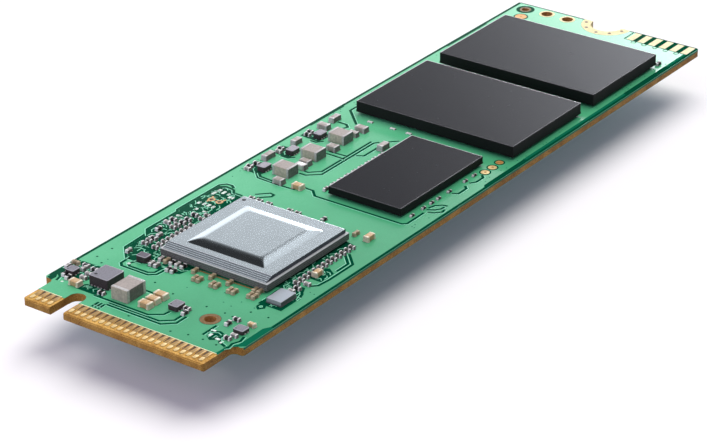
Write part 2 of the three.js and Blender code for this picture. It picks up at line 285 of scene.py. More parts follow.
def noiseField(tree, scale, detail=3.0, stretch=(1, 1, 1), rough=0.5):
    coords = addNode(tree, "ShaderNodeTexCoord")
    mapping = addNode(tree, "ShaderNodeMapping")
    mapping.inputs["Scale"].default_value = stretch
    tree.links.new(coords.outputs["Object"], mapping.inputs["Vector"])
    noise = addNode(tree, "ShaderNodeTexNoise")
    noise.inputs["Scale"].default_value = scale
    noise.inputs["Detail"].default_value = detail
    noise.inputs["Roughness"].default_value = rough
    tree.links.new(mapping.outputs[0], noise.inputs["Vector"])
    return noise.outputs["Fac"]


def addBump(tree, shader, field, strength, distance):
    bump = addNode(tree, "ShaderNodeBump")
    bump.inputs["Strength"].default_value = strength
    bump.inputs["Distance"].default_value = distance * mm
    tree.links.new(field, bump.inputs["Height"])
    tree.links.new(bump.outputs[0], shader.inputs["Normal"])


def spread(color, share):
    return tuple(min(1.0, c * (1 - share)) for c in color), tuple(min(1.0, c * (1 + share)) for c in color)


# Where a point lies along X, Y and Z, in the piece's own metres.
def placeIn(tree):
    parts = addNode(tree, "ShaderNodeSeparateXYZ")
    tree.links.new(addNode(tree, "ShaderNodeTexCoord").outputs["Object"], parts.inputs[0])
    return parts.outputs


# One finish from a few words: colour with speckle, roughness with its own variation, and a fine bump.
def makeFinish(name, color, rough, metal, speckle, grain, bump, depth, specular, roughSpread=0.06,
               stretch=(1, 1, 1)):
    material, tree, shader = newMaterial(name)
    dark, bright = spread(color, speckle)
    field = noiseField(tree, grain, 4.0, stretch)
    tree.links.new(rampOf(tree, field, [(0.3, dark), (0.7, bright)]), shader.inputs["Base Color"])
    slow = noiseField(tree, grain * 0.11, 2.0, stretch)
    change = addNode(tree, "ShaderNodeMapRange")
    tree.links.new(slow, change.inputs["Value"])
    change.inputs["To Min"].default_value = rough - roughSpread
    change.inputs["To Max"].default_value = rough + roughSpread
    tree.links.new(change.outputs[0], shader.inputs["Roughness"])
    shader.inputs["Metallic"].default_value = metal
    shader.inputs["Specular IOR Level"].default_value = specular
    addBump(tree, shader, field, bump, depth)
    return material


# Cut glass-epoxy: resin between stacked layers of glass cloth, seen as thin level bands.
def laminateFinish():
    material, tree, shader = newMaterial("cutLaminate")
    place = placeIn(tree)
    layer = mathNode(tree, "MULTIPLY", place["Z"], 2 * math.pi / (0.13 * mm))
    wobble = mathNode(tree, "MULTIPLY", noiseField(tree, 900, 3.0, (1, 1, 0.2)), 3.0)
    band = mathNode(tree, "SINE", mathNode(tree, "ADD", layer, wobble))
    fibre = noiseField(tree, 6500, 4.0, (1, 1, 2.5))
    mixed = mathNode(tree, "ADD", mathNode(tree, "MULTIPLY", band, 0.10), fibre)
    stain = mathNode(tree, "MULTIPLY", noiseField(tree, 700, 3.0), 0.8)
    total = mathNode(tree, "ADD", mixed, mathNode(tree, "SUBTRACT", stain, 0.40))
    stops = [(0.16, (0.18, 0.07, 0.010)), (0.5, (0.47, 0.245, 0.042)), (0.84, (0.78, 0.48, 0.12))]
    # the coat runs a little way down the long side away from the key slot
    high = mathNode(tree, "GREATER_THAN", place["Z"], 0.58 * mm)
    side = mathNode(tree, "LESS_THAN", place["Y"], (boardLow[1] + 0.05) * mm)
    wrap = addNode(tree, "ShaderNodeMix", data_type="RGBA")
    tree.links.new(mathNode(tree, "MULTIPLY", high, side), wrap.inputs[0])
    tree.links.new(rampOf(tree, total, stops), wrap.inputs[6])
    wrap.inputs[7].default_value = (0.02, 0.20, 0.10, 1)
    tree.links.new(wrap.outputs[2], shader.inputs["Base Color"])
    shader.inputs["Roughness"].default_value = 0.62
    shader.inputs["Specular IOR Level"].default_value = 0.35
    addBump(tree, shader, total, 0.25, 0.02)
    return material


# Green coat over copper: satin, with a slow random drift of tone, painted light that makes it paler towards
# the far end and the key-slot side, and the cloth weave just showing through.
def coatWithPaintedLight(name, color, rough, specular, drift=0.22):
    material, tree, shader = newMaterial(name)
    slow = noiseField(tree, 160, 3.0)
    fine = noiseField(tree, 5200, 3.0)
    place = placeIn(tree)
    # painted light: the tone rises steadily along Y and X, paler towards the key-slot side and the far end
    across = mathNode(tree, "MULTIPLY", place["Y"], 24)
    along = mathNode(tree, "MULTIPLY", place["X"], 5)
    faint = mathNode(tree, "MULTIPLY", fine, 0.2)
    mixed = mathNode(tree, "ADD", mathNode(tree, "MULTIPLY", slow, 0.5), faint)
    field = mathNode(tree, "ADD", mixed, mathNode(tree, "ADD", across, along))
    dark, bright = spread(color, drift)
    pale = tuple(c + 0.07 * drift / 0.22 for c in bright)
    stops = [(0.0, dark), (0.32, color), (0.78, pale)]
    tree.links.new(rampOf(tree, field, stops), shader.inputs["Base Color"])
    coords = addNode(tree, "ShaderNodeTexCoord")
    wave = addNode(tree, "ShaderNodeTexWave", wave_type="BANDS", bands_direction="DIAGONAL")
    tree.links.new(coords.outputs["Object"], wave.inputs["Vector"])
    wave.inputs["Scale"].default_value = 420
    wave.inputs["Distortion"].default_value = 1.5
    relief = mathNode(tree, "ADD", mathNode(tree, "MULTIPLY", wave.outputs["Fac"], 0.15), fine)
    shader.inputs["Roughness"].default_value = rough
    shader.inputs["Specular IOR Level"].default_value = specular
    addBump(tree, shader, relief, 0.12, 0.008)
    return material


# Satin nickel: the lid's stamped sheet, with a very fine even grain.
def nickelFinish(name, color, rough):
    material, tree, shader = newMaterial(name)
    dark, bright = spread(color, 0.05)
    fine = noiseField(tree, 14000, 2.0)
    slow = noiseField(tree, 500, 3.0)
    broad = mathNode(tree, "MULTIPLY", slow, 0.4)
    field = mathNode(tree, "ADD", mathNode(tree, "MULTIPLY", fine, 0.6), broad)
    tree.links.new(rampOf(tree, field, [(0.3, dark), (0.7, bright)]), shader.inputs["Base Color"])
    change = addNode(tree, "ShaderNodeMapRange")
    tree.links.new(slow, change.inputs["Value"])
    change.inputs["To Min"].default_value = rough - 0.03
    change.inputs["To Max"].default_value = rough + 0.05
    tree.links.new(change.outputs[0], shader.inputs["Roughness"])
    shader.inputs["Metallic"].default_value = 1.0
    return material


# Package carrier seen edge-on: thin level layers of board under a plated rim.
def layeredFinish(name, color, pitch, rough):
    material, tree, shader = newMaterial(name)
    layers = mathNode(tree, "MULTIPLY", placeIn(tree)["Z"], 2 * math.pi / (pitch * mm))
    layer = mathNode(tree, "SINE", layers)
    fine = noiseField(tree, 7000, 3.0)
    total = mathNode(tree, "ADD", mathNode(tree, "MULTIPLY", layer, 0.16), fine)
    dark, bright = spread(color, 0.45)
    tree.links.new(rampOf(tree, total, [(0.3, dark), (0.7, bright)]), shader.inputs["Base Color"])
    shader.inputs["Roughness"].default_value = rough
    shader.inputs["Specular IOR Level"].default_value = 0.4
    addBump(tree, shader, total, 0.3, 0.01)
    return material


finishes = {
    "laminate": laminateFinish(),
    "coat": coatWithPaintedLight("greenCoat", (0.086, 0.475, 0.232), 0.2, 0.5),
    # dark green for cuts in the copper, and for the painted shade round crowded parts
    "gap": coatWithPaintedLight("greenGapAndShade", (0.001, 0.070, 0.034), 0.4, 0.0, 0.1),
    # soft dark green for some dots and edge areas, and for painted shade along the -Y edge
    "gapSoft": coatWithPaintedLight("greenSoftGapAndShade", (0.005, 0.15, 0.078), 0.4, 0.0, 0.1),
    # pale green for the tracks under the coat, and for the painted highlight beside each cut
    "lightTrack": coatWithPaintedLight("greenTrackAndGlint", (0.24, 0.74, 0.48), 0.3, 0.3, 0.1),
    "carrier": layeredFinish("layeredCarrier", (0.13, 0.135, 0.13), 0.17, 0.5),
    "lid": nickelFinish("nickelLid", (0.785, 0.865, 0.88), 0.18),
    "lidGlint": nickelFinish("lidGlint", (0.95, 0.97, 1.0), 0.35),
    # a darker copy of the lid's nickel for its lower treads: painted shade
    "lidTread": nickelFinish("lidTread", (0.66, 0.71, 0.725), 0.2),
    "can": nickelFinish("canMetal", (0.62, 0.66, 0.70), 0.33),
}
# material, colour, roughness, metal, speckle, grain scale, bump, its depth, specular,
# and for some the spread of roughness and the stretch
plainFinishes = {
    "coatLip": ("coatLip", (0.86, 0.84, 0.50), 0.35, 0.0, 0.10, 4000, 0.2, 0.006, 0.5),
    "gold": ("contactGold", (0.46, 0.275, 0.08), 0.38, 0.6, 0.24, 3600, 0.12, 0.004, 0.5, 0.08,
             (0.25, 1, 1)),
    # paler gold: the painted highlight on the contact tips, and two round lands
    "goldTip": ("wornGold", (0.92, 0.68, 0.30), 0.36, 0.4, 0.10, 3600, 0.12, 0.004, 0.5, 0.08,
                (0.25, 1, 1)),
    # dark brown for the painted shadow between the contacts, and for dark dots and wells
    "fingerGap": ("bareTongue", (0.07, 0.035, 0.012), 0.5, 0.0, 0.3, 4200, 0.3, 0.01, 0.5),
    "padGold": ("padGold", (0.88, 0.80, 0.50), 0.5, 0.0, 0.08, 4200, 0.15, 0.006, 0.15),
    "seatGold": ("seatGold", (0.90, 0.80, 0.46), 0.5, 0.0, 0.07, 4200, 0.15, 0.006, 0.12),
    "landCopper": ("landCopper", (0.66, 0.43, 0.22), 0.45, 0.1, 0.14, 5200, 0.15, 0.006, 0.2),
    "copper": ("bareCopper", (0.22, 0.13, 0.05), 0.45, 0.2, 0.16, 5200, 0.15, 0.006, 0.2),
    "barrel": ("drilledBarrel", (0.52, 0.27, 0.085), 0.5, 0.1, 0.35, 3600, 0.3, 0.02, 0.2),
    "tin": ("bakedTin", (0.52, 0.515, 0.50), 0.42, 0.2, 0.2, 7000, 0.35, 0.01, 0.4),
    "warmTin": ("warmTin", (0.74, 0.66, 0.50), 0.46, 0.2, 0.16, 7000, 0.35, 0.01, 0.5),
    "brightTin": ("brightTin", (0.86, 0.86, 0.85), 0.35, 0.3, 0.10, 7000, 0.35, 0.01, 0.5),
    "greyTin": ("greyTin", (0.46, 0.455, 0.44), 0.42, 0.3, 0.18, 7000, 0.35, 0.01, 0.5),
    "khakiTin": ("khakiTin", (0.50, 0.43, 0.29), 0.46, 0.1, 0.20, 7000, 0.35, 0.01, 0.3),
    # dark green pads under parts as painted shade at their foot, also used for small dots and one ring
    "padTin": ("tinnedPad", (0.03, 0.14, 0.085), 0.45, 0.1, 0.2, 6000, 0.2, 0.008, 0.1),
    "openTin": ("openTin", (0.74, 0.86, 0.78), 0.35, 0.2, 0.12, 6000, 0.2, 0.008, 0.5),
    "tanCeramic": ("tanCeramic", (0.54, 0.355, 0.175), 0.50, 0.0, 0.16, 6500, 0.25, 0.01, 0.5),
    "pinkCeramic": ("pinkCeramic", (0.375, 0.335, 0.305), 0.46, 0.0, 0.16, 5200, 0.25, 0.01, 0.5),
    # lighter cream for inductor faces turned to the tip: painted light
    "creamCeramic": ("creamCeramic", (0.52, 0.47, 0.375), 0.5, 0.0, 0.2, 4200, 0.25, 0.01, 0.3),
    "shadeCeramic": ("shadeCeramic", (0.17, 0.165, 0.155), 0.5, 0.0, 0.25, 4200, 0.25, 0.01, 0.3),
    "smallTin": ("smallTin", (0.80, 0.80, 0.79), 0.42, 0.1, 0.15, 7000, 0.3, 0.01, 0.4),
    "rowCeramic": ("rowCeramic", (0.12, 0.11, 0.10), 0.5, 0.0, 0.2, 6500, 0.25, 0.01, 0.3),
    "greyCeramic": ("greyCeramic", (0.34, 0.33, 0.315), 0.48, 0.0, 0.18, 6500, 0.25, 0.01, 0.3),
    "brownCeramic": ("khakiCeramic", (0.28, 0.215, 0.13), 0.48, 0.0, 0.2, 6500, 0.25, 0.01, 0.3),
    "darkCeramic": ("darkCeramic", (0.016, 0.015, 0.015), 0.42, 0.0, 0.25, 6500, 0.2, 0.01, 0.3),
    "mould": ("mouldedEpoxy", (0.008, 0.008, 0.0105), 0.26, 0.0, 0.30, 16000, 0.08, 0.004, 0.06, 0.03),
    # the package's sloped top edge, painted lighter: painted highlight
    "mouldEdge": ("mouldedEdge", (0.045, 0.045, 0.050), 0.4, 0.0, 0.20, 9000, 0.1, 0.005, 0.2),
    "mouldGlint": ("mouldedGlint", (0.60, 0.60, 0.62), 0.4, 0.0, 0.15, 9000, 0.1, 0.005, 0.4),
    "mouldSide": ("mouldedEpoxySide", (0.006, 0.006, 0.007), 0.6, 0.0, 0.30, 9000, 0.2, 0.01, 0.16),
    "chipMould": ("chipEpoxy", (0.215, 0.213, 0.245), 0.36, 0.0, 0.20, 9000, 0.2, 0.008, 0.5),
    "dimMould": ("dimEpoxy", (0.115, 0.10, 0.125), 0.36, 0.0, 0.20, 9000, 0.2, 0.008, 0.5),
    # chip epoxy's sloped edge painted lighter as a painted highlight, and its sides painted darker as
    # painted shade
    "chipEdge": ("chipEdge", (0.36, 0.36, 0.40), 0.3, 0.0, 0.15, 9000, 0.15, 0.006, 0.8),
    "chipSide": ("chipEpoxySide", (0.06, 0.046, 0.050), 0.5, 0.0, 0.25, 9000, 0.2, 0.008, 0.2),
    "silicon": ("backlapSilicon", (0.20, 0.21, 0.24), 0.25, 0.4, 0.12, 4000, 0.05, 0.004, 0.5),
    "paste": ("thermalPaste", (0.42, 0.43, 0.45), 0.8, 0.0, 0.15, 3000, 0.4, 0.03, 0.5),
    "solder": ("reflowSolder", (0.42, 0.42, 0.43), 0.35, 0.9, 0.12, 3000, 0.2, 0.01, 0.5),
    # pale paint for the carrier's rim: a painted highlight
    "lidLedge": ("lidLedge", (0.50, 0.53, 0.54), 0.4, 0.1, 0.05, 3000, 0.05, 0.004, 0.5),
    "paleMould": ("paleEpoxy", (0.36, 0.35, 0.39), 0.36, 0.0, 0.20, 9000, 0.2, 0.008, 0.5),
    # darker copies of the lid's nickel for its step risers and side walls: painted shade
    "lidRiser": ("lidRiser", (0.26, 0.29, 0.30), 0.4, 0.2, 0.1, 2500, 0.05, 0.004, 0.3),
    "lidSide": ("lidSide", (0.055, 0.064, 0.082), 0.4, 0.2, 0.2, 6000, 0.15, 0.006, 0.3),
    # the crystal can's walls: a lighter grey turned to the tip as painted light, a dark grey turned to -Y
    # as painted shade, which the base band also takes
    "canFront": ("canFront", (0.34, 0.37, 0.375), 0.45, 0.1, 0.15, 6000, 0.2, 0.008, 0.3),
    "canSide": ("canSide", (0.10, 0.105, 0.11), 0.45, 0.3, 0.2, 6000, 0.2, 0.008, 0.5),
    "orangeLand": ("orangeLand", (0.92, 0.50, 0.22), 0.5, 0.0, 0.1, 5000, 0.15, 0.006, 0.15),
    "mark": ("darkMark", (0.02, 0.02, 0.025), 0.6, 0.0, 0.2, 5000, 0.1, 0.005, 0.5),
}
for key, values in plainFinishes.items():
    finishes[key] = makeFinish(*values)
print("finishes ready", len(finishes))


def newShape():
    return {"points": [], "faces": [], "paints": []}


def addLoft(shape, rings, paint, closedEnds=True):
    start = len(shape["points"])
    count = len(rings[0])
    for ring in rings:
        shape["points"].extend(ring)
    for r in range(len(rings) - 1):
        for i in range(count):
            a = start + r * count + i
            b = start + r * count + (i + 1) % count
            shape["faces"].append((a, b, b + count, a + count))
            shape["paints"].append(paint)
    if closedEnds:
        shape["faces"].append(tuple(start + i for i in reversed(range(count))))
        shape["faces"].append(tuple(start + (len(rings) - 1) * count + i for i in range(count)))
        shape["paints"].extend([paint, paint])


def roundRing(x, y, sizeX, sizeY, corner, z, steps=2):
    corner = max(min(corner, sizeX / 2.01, sizeY / 2.01), 0.002)
    ring = []
    for quarter, (sx, sy) in enumerate(((1, -1), (1, 1), (-1, 1), (-1, -1))):
        cx = x + sx * (sizeX / 2 - corner)
        cy = y + sy * (sizeY / 2 - corner)
        for i in range(steps + 1):
            angle = math.pi / 2 * (quarter - 1 + i / steps)
            ring.append((cx + corner * math.cos(angle), cy + corner * math.sin(angle), z))
    return ring


# A block whose outline pulls in by the profile's first number at each of its heights.
def addBlock(shape, x, y, sizeX, sizeY, profile, corner, paint, steps=2):
    rings = []
    for inset, z in profile:
        rings.append(roundRing(x, y, sizeX - 2 * inset, sizeY - 2 * inset, corner - inset, z, steps))
    addLoft(shape, rings, paint)


def softTop(low, high, edge, steps=2):
    profile = [(0, low)]
    for i in range(steps + 1):
        angle = math.pi / 2 * i / steps
        profile.append((edge * (1 - math.cos(angle)), high - edge + edge * math.sin(angle)))
    return profile


def softBoth(low, high, edge, steps=2):
    under = [(inset, low + high - z) for inset, z in softTop(low, high, edge, steps)[1:]]
    return list(reversed(under)) + softTop(low, high, edge, steps)[1:]


def addPrism(shape, outline, low, high, paint):
    area = sum(a[0] * b[1] - b[0] * a[1] for a, b in zip(outline, outline[1:] + outline[:1]))
    if area < 0:
        outline = list(reversed(outline))
    addLoft(shape, [[(x, y, low) for x, y in outline], [(x, y, high) for x, y in outline]], paint)


def circle(x, y, radius, count=16):
    turn = 2 * math.pi / count
    return [(x + radius * math.cos(turn * i), y + radius * math.sin(turn * i)) for i in range(count)]


def addDisc(shape, x, y, radius, low, high, paint, count=16):
    addPrism(shape, circle(x, y, radius, count), low, high, paint)


# A side-on outline drawn in X and Z, carried along Y; one paint for each of its walls and one for its ends.
def addExtrusion(shape, outline, kinds, startY, stopY, endPaint):
    start = len(shape["points"])
    count = len(outline)
    for y in (startY, stopY):
        shape["points"].extend((x, y, z) for x, z in outline)
    for i in range(count):
        after = (i + 1) % count
        shape["faces"].append((start + i, start + count + i, start + count + after, start + after))
        shape["paints"].append(kinds[i])
    shape["faces"].append(tuple(start + i for i in range(count)))
    shape["faces"].append(tuple(start + count + i for i in reversed(range(count))))
    shape["paints"].extend([endPaint, endPaint])


# A flat ring or tube wall, closed all round.
def addRing(shape, x, y, inner, outer, low, high, paint, count=28):
    start = len(shape["points"])
    for radius, z in ((inner, low), (outer, low), (outer, high), (inner, high)):
        shape["points"].extend((px, py, z) for px, py in circle(x, y, radius, count))
    for band in range(4):
        for i in range(count):
            a = start + band * count + i
            b = start + band * count + (i + 1) % count
            c = start + (band + 1) % 4 * count + (i + 1) % count
            d = start + (band + 1) % 4 * count + i
            shape["faces"].append((a, b, c, d))
            shape["paints"].append(paint)


# The two sides of a path, mitred at its corners, as one closed outline.
def ribbonOutline(path, width):
    left = []
    right = []
    for i, point in enumerate(path):
        here = Vector(point)
        before = (here - Vector(path[i - 1])).normalized() if i else None
        after = (Vector(path[i + 1]) - here).normalized() if i < len(path) - 1 else None
        along = ((before or after) + (after or before)).normalized()
        side = Vector((-along.y, along.x))
        edge = before or after
        stretch = 1 / max(abs(side.dot(Vector((-edge.y, edge.x)))), 0.5)
        left.append(tuple(here + side * width / 2 * stretch))
        right.append(tuple(here - side * width / 2 * stretch))
    return right + list(reversed(left))


def addRibbon(shape, path, width, low, high, paint):
    addPrism(shape, ribbonOutline(path, width), low, high, paint)


# The same path moved sideways, for the line that runs beside another.
def besidePath(path, distance):
    outline = ribbonOutline(path, 2 * abs(distance))
    right = outline[:len(path)]
    left = list(reversed(outline[len(path):]))
    return left if distance > 0 else right


# Faces turned to -X or -Y can be given another paint than their own: painted shade on the dim side, painted
# light towards the tip.
def makePiece(name, shape, paints, stands=(), smooth=35, paintedLightAndShade=()):
    data = bpy.data.meshes.new(name)
    data.from_pydata([[c * mm for c in p] for p in shape["points"]], [], shape["faces"])
    for paint in paints:
        data.materials.append(finishes[paint])
    for face, paint in zip(data.polygons, shape["paints"]):
        face.material_index = paint
    for axis, old, new in paintedLightAndShade:
        for face in data.polygons:
            if face.material_index == old and face.normal[axis] < -0.7:
                face.material_index = new
    data.validate()
    data.shade_smooth()
    data.set_sharp_from_angle(angle=math.radians(smooth))
    piece = bpy.data.objects.new(name, data)
    bpy.context.scene.collection.objects.link(piece)
    evener = piece.modifiers.new("evenShading", "WEIGHTED_NORMAL")
    evener.keep_sharp = True
    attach(piece, "root")
    if stands:
        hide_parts(*stands)
    return piece


def paintNode(node, finish):
    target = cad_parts[node]
    target.data.materials.clear()
    target.data.materials.append(finishes[finish])


paintNode("circuit_board", "laminate")
paintNode("solder_mask_top", "coat")
paintNode("solder_mask_bottom", "coat")
paintNode("mounting_pad", "seatGold")

fingers = {"width": 0.40, "round": 0.1, "edge": 0.01, "tipLength": 0.62, "tipWidth": 0.36, "tipLift": 0.004,
           "gapWidth": 0.24, "gapLength": 0.95, "countWide": 22, "countNarrow": 4}


# A flat block laid on the coat, its sides starting just inside it.
def addFlat(shape, x, y, sizeX, sizeY, top, corner, paint):
    addBlock(shape, x, y, sizeX, sizeY, [(0, printLow), (0, top)], corner, paint, 2)


# Separate gold contacts with eased edges, spaced over the same row as the comb they stand for.
def makeFingers(name, node, count, spec):
    low, high = boxOf(node)
    top = high[2] > deck / 2
    shape = newShape()
    pitch = (high[1] - low[1] - spec["width"]) / (count - 1)
    length = high[0] - low[0]
    lift = spec["tipLift"] if top else 0
    for i in range(count):
        y = low[1] + spec["width"] / 2 + pitch * i
        profile = softTop if top else softBoth
        addBlock(shape, low[0] + length / 2, y, length, spec["width"],
                 profile(low[2], high[2] - lift, spec["edge"], 2), spec["round"], 0, 3)
        if not top:
            continue
        # a raised tip in paler gold: a painted highlight near each contact's end
        addBlock(shape, low[0] + spec["tipLength"] / 2 + 0.02, y, spec["tipLength"], spec["tipWidth"],
                 softTop(high[2] - 0.02, high[2], 0.012, 3), 0.16, 1, 4)
        # a dark wedge on the laminate between contacts, running out from the coat: painted shadow
        if i < count - 1:
            root = high[0]
            half = spec["gapWidth"] / 2
            middle = y + pitch / 2
            tail = root - spec["gapLength"]
            narrow = half * 0.35
            wedge = [(root, middle - half), (root, middle + half), (tail, middle + narrow),
                     (tail, middle - narrow)]
            addPrism(shape, wedge, low[2] - 0.01, low[2] + 0.006, 2)
    return makePiece(name, shape, ["gold", "goldTip", "fingerGap"], [node])


makeFingers("fingers_top_wide", "contacts_top_wide", fingers["countWide"], fingers)
makeFingers("fingers_top_narrow", "contacts_top_narrow", fingers["countNarrow"], fingers)
makeFingers("fingers_under_wide", "contacts_bottom_wide", fingers["countWide"] - 1, fingers)
makeFingers("fingers_under_narrow", "contacts_bottom_narrow", fingers["countNarrow"] - 1, fingers)

coatEdge = {"x": -38.0, "wide": 0.09, "spans": [(-9.75, 5.15), (7.25, 9.75)]}


# The coat's rounded lip where the bare tongue begins.
def makeCoatLip(spec):
    shape = newShape()
    for y0, y1 in spec["spans"]:
        addBlock(shape, spec["x"] + spec["wide"] / 2, (y0 + y1) / 2, spec["wide"], y1 - y0,
                 softTop(deck - 0.02, deck + 0.012, 0.015, 2), 0.03, 0, 2)
    return makePiece("coat_lip", shape, ["coatLip"])


makeCoatLip(coatEdge)

copperAndShadePlan = {
    "lineWidth": 0.28,
    "lineLift": 0.005,
    "glintWidth": 0.08,
    "glintGap": 0.17,
    # lines where the copper under the coat is cut away, each with a pale line beside it that is a painted
    # highlight
    "lines": [
        [(-36.75, 3.3), (-36.75, -2.75), (-35.85, -3.75), (-34.5, -3.75)],
        [(-36.4, 3.3), (-36.4, -2.3), (-35.55, -3.3), (-34.6, -3.3)],
        [(-36.1, 5.2), (-36.1, -0.8), (-35.3, -1.9), (-34.6, -2.0)],
        [(-37.75, 4.05), (-36.8, 4.05)],
        [(-37.75, 3.7), (-36.8, 3.7)],
        [(-37.75, 3.35), (-36.8, 3.35)],
        [(-37.3, 4.1), (-37.3, 3.3)],
        [(-32.9, 3.9), (-32.9, -0.3)],
        [(-28.9, 7.2), (-30.2, 7.2), (-30.6, 6.8), (-30.6, 3.8), (-30.1, 3.2), (-28.9, 3.1),
         (-28.4, 2.7), (-27.9, 2.7)],
        [(-29.1, 6.2), (-29.9, 6.6), (-30.25, 6.2), (-30.25, 4.1), (-29.9, 3.6), (-28.8, 3.5)],
        [(-24.8, 9.0), (-27.7, 8.85), (-29.2, 7.45), (-29.2, 5.6)],
        [(-12.9, 8.2), (-12.55, 8.7), (-12.6, 9.3), (-13.1, 9.75), (-19.3, 9.75), (-19.6, 9.5),
         (-23.9, 9.5),
         (-24.5, 9.0), (-24.9, 8.6)],
        [(-13.4, 9.2), (-13.1, 8.9), (-13.2, 8.0), (-13.7, 7.6), (-13.7, 6.6)],
        [(-17.35, -8.3), (-18.75, -9.7), (-22.2, -9.7), (-23.6, -9.55), (-24.2, -8.95)],
        [(-17.8, -8.2), (-18.9, -9.3), (-20.6, -9.3)],
        [(-24.9, -8.5), (-25.65, -9.35), (-26.7, -9.7)],
        [(-25.4, -8.5), (-26.0, -9.05), (-26.9, -9.35)],
        [(-12.8, 5.8), (-11.8, 4.8), (-11.9, 4.3), (-12.3, 4.3), (-13.2, 5.3)],
        [(-8.8, 8.85), (-9.9, 7.7), (-10.0, 5.3), (-9.95, 3.9), (-9.9, 3.4)],
        [(-9.0, 8.3), (-9.55, 7.7), (-9.65, 6.2)],
        [(-9.0, 3.0), (-9.1, 2.5), (-9.1, 1.9), (-9.9, 1.1), (-9.9, -8.75), (-9.55, -9.1), (-6.9, -9.1)],
        [(-6.9, 5.2), (-6.9, 4.4), (-5.9, 3.25), (2.4, 3.25), (2.9, 2.9)],
        [(-6.3, 5.0), (-6.3, 4.6), (-5.4, 3.62), (2.6, 3.62)],
        [(-2.0, 5.7), (-2.05, 3.3)],
        [(-1.5, 5.7), (-1.4, 3.65)],
        [(-0.9, 3.2), (-0.4, 2.35), (1.8, 2.35)],
        [(-4.9, 8.9), (-4.9, 8.0), (-4.4, 7.5)],
        [(-0.6, 8.6), (-0.6, 7.9), (0.0, 7.4)],
        [(3.3, 7.7), (3.9, 7.4), (4.35, 7.9), (4.38, 8.95)],
        [(4.9, 7.1), (7.2, 9.5), (8.4, 9.5)],
        [(3.4, 2.3), (4.2, 1.5)],
        [(-6.66, -9.3), (-6.4, -9.9), (-5.86, -10.4), (-5.3, -10.3)],
        [(-6.3, -8.95), (-5.9, -9.6), (-5.4, -9.95), (-4.9, -10.0)],
        [(-5.9, -8.9), (-5.2, -9.1), (-4.7, -9.6), (-4.6, -10.1)],
        [(-2.2, -8.95), (-1.9, -9.5), (-0.6, -9.5), (-0.2, -9.1)],
        [(0.5, -9.1), (1.1, -9.5), (2.2, -9.5), (2.6, -9.1)],
        [(-29.55, -7.5), (-29.15, -7.55), (-29.1, -7.95), (-29.5, -8.15), (-29.85, -7.85), (-29.55, -7.5)],
        [(-36.6, -9.6), (-36.3, -8.8), (-35.7, -8.3), (-35.2, -8.3)],
        [(-36.9, -9.7), (-36.6, -9.95), (-35.9, -9.8), (-35.2, -10.1), (-34.4, -9.9)],
        [(-36.1, -6.8), (-34.2, -6.8)],
        [(-35.4, -6.8), (-34.9, -7.7), (-35.1, -8.2)],
        [(-35.9, 9.7), (-35.2, 9.9), (-34.9, 10.3), (-33.6, 10.3)],
    ],
    # darker ground round crowded parts: painted shade beneath and between them
    "areas": [
        [(-29.1, 5.0), (-29.1, 7.3), (-27.6, 8.7), (-24.7, 8.85), (-23.9, 9.35), (-19.5, 9.35),
         (-19.2, 9.6),
         (-13.3, 9.6), (-12.9, 9.1), (-13.0, 8.3), (-13.6, 7.8), (-13.9, 6.6), (-13.9, 5.0)],
        [(-28.9, 1.6), (-29.2, 2.4), (-29.4, 5.0), (-27.2, 5.0), (-27.2, 1.2)],
        [(-25.7, -8.0), (-15.8, -8.0), (-15.5, -6.6), (-25.9, -6.6)],
        [(-29.1, -9.7), (-26.2, -9.7), (-24.6, -8.9), (-24.6, -8.0), (-26.0, -7.1), (-29.1, -7.2)],
        [(-23.0, -9.4), (-21.1, -9.4), (-20.5, -8.5), (-20.9, -7.9), (-23.0, -7.9)],
        [(-36.05, 4.4), (-35.3, 4.4), (-34.9, 5.0), (-34.9, 7.0), (-35.2, 7.3), (-36.05, 7.3)],
        [(-35.3, 8.5), (-35.2, 9.9), (-33.0, 10.3), (-31.9, 10.2), (-31.8, 8.2), (-32.6, 7.0),
         (-34.9, 7.6)],
        [(-36.1, 10.15), (-35.9, 10.8), (-31.9, 10.8), (-31.9, 10.35), (-33.4, 10.3), (-34.9, 10.45),
         (-35.5, 10.1)],
        [(-36.1, -7.2), (-35.5, -6.95), (-34.9, -7.3), (-35.2, -8.1), (-36.2, -8.2), (-36.5, -7.8)],
        [(-9.4, 8.0), (-9.2, 10.1), (-7.2, 10.1), (-7.0, 9.0), (-7.5, 7.6)],
        [(-4.8, 7.9), (-4.7, 10.1), (-3.0, 10.1), (-2.8, 8.0)],
        [(-0.4, 7.8), (-0.2, 10.1), (1.3, 10.1), (1.6, 8.0), (1.3, 7.6)],
    ],
}


def insideOutline(point, outline):
    x, y = point
    inside = False
    for (xa, ya), (xb, yb) in zip(outline, outline[1:] + outline[:1]):
        if (ya > y) != (yb > y) and x < (xb - xa) * (y - ya) / (yb - ya) + xa:
            inside = not inside
    return inside


def makeCopperAndShadePlan(spec):
    shape = newShape()
    top = deck + spec["lineLift"]
    for path in spec["lines"]:
        addRibbon(shape, path, spec["lineWidth"], printLow, top, 0)
        # the pale line beside each cut is a painted highlight
        glint = besidePath(path, -spec["glintGap"])
        addRibbon(shape, glint, spec["glintWidth"], printLow, top + 0.004, 1)
    # painted shade: the darker ground round the crowded parts
    for outline in spec["areas"]:
        addPrism(shape, outline, printLow, top - 0.002, 0)
    return makePiece("copper_gaps_and_shade", shape, ["gap", "lightTrack"])


makeCopperAndShadePlan(copperAndShadePlan)

fineTracks = {"count": 290, "width": 0.085, "reach": (0.2, 0.62), "lift": 0.008}


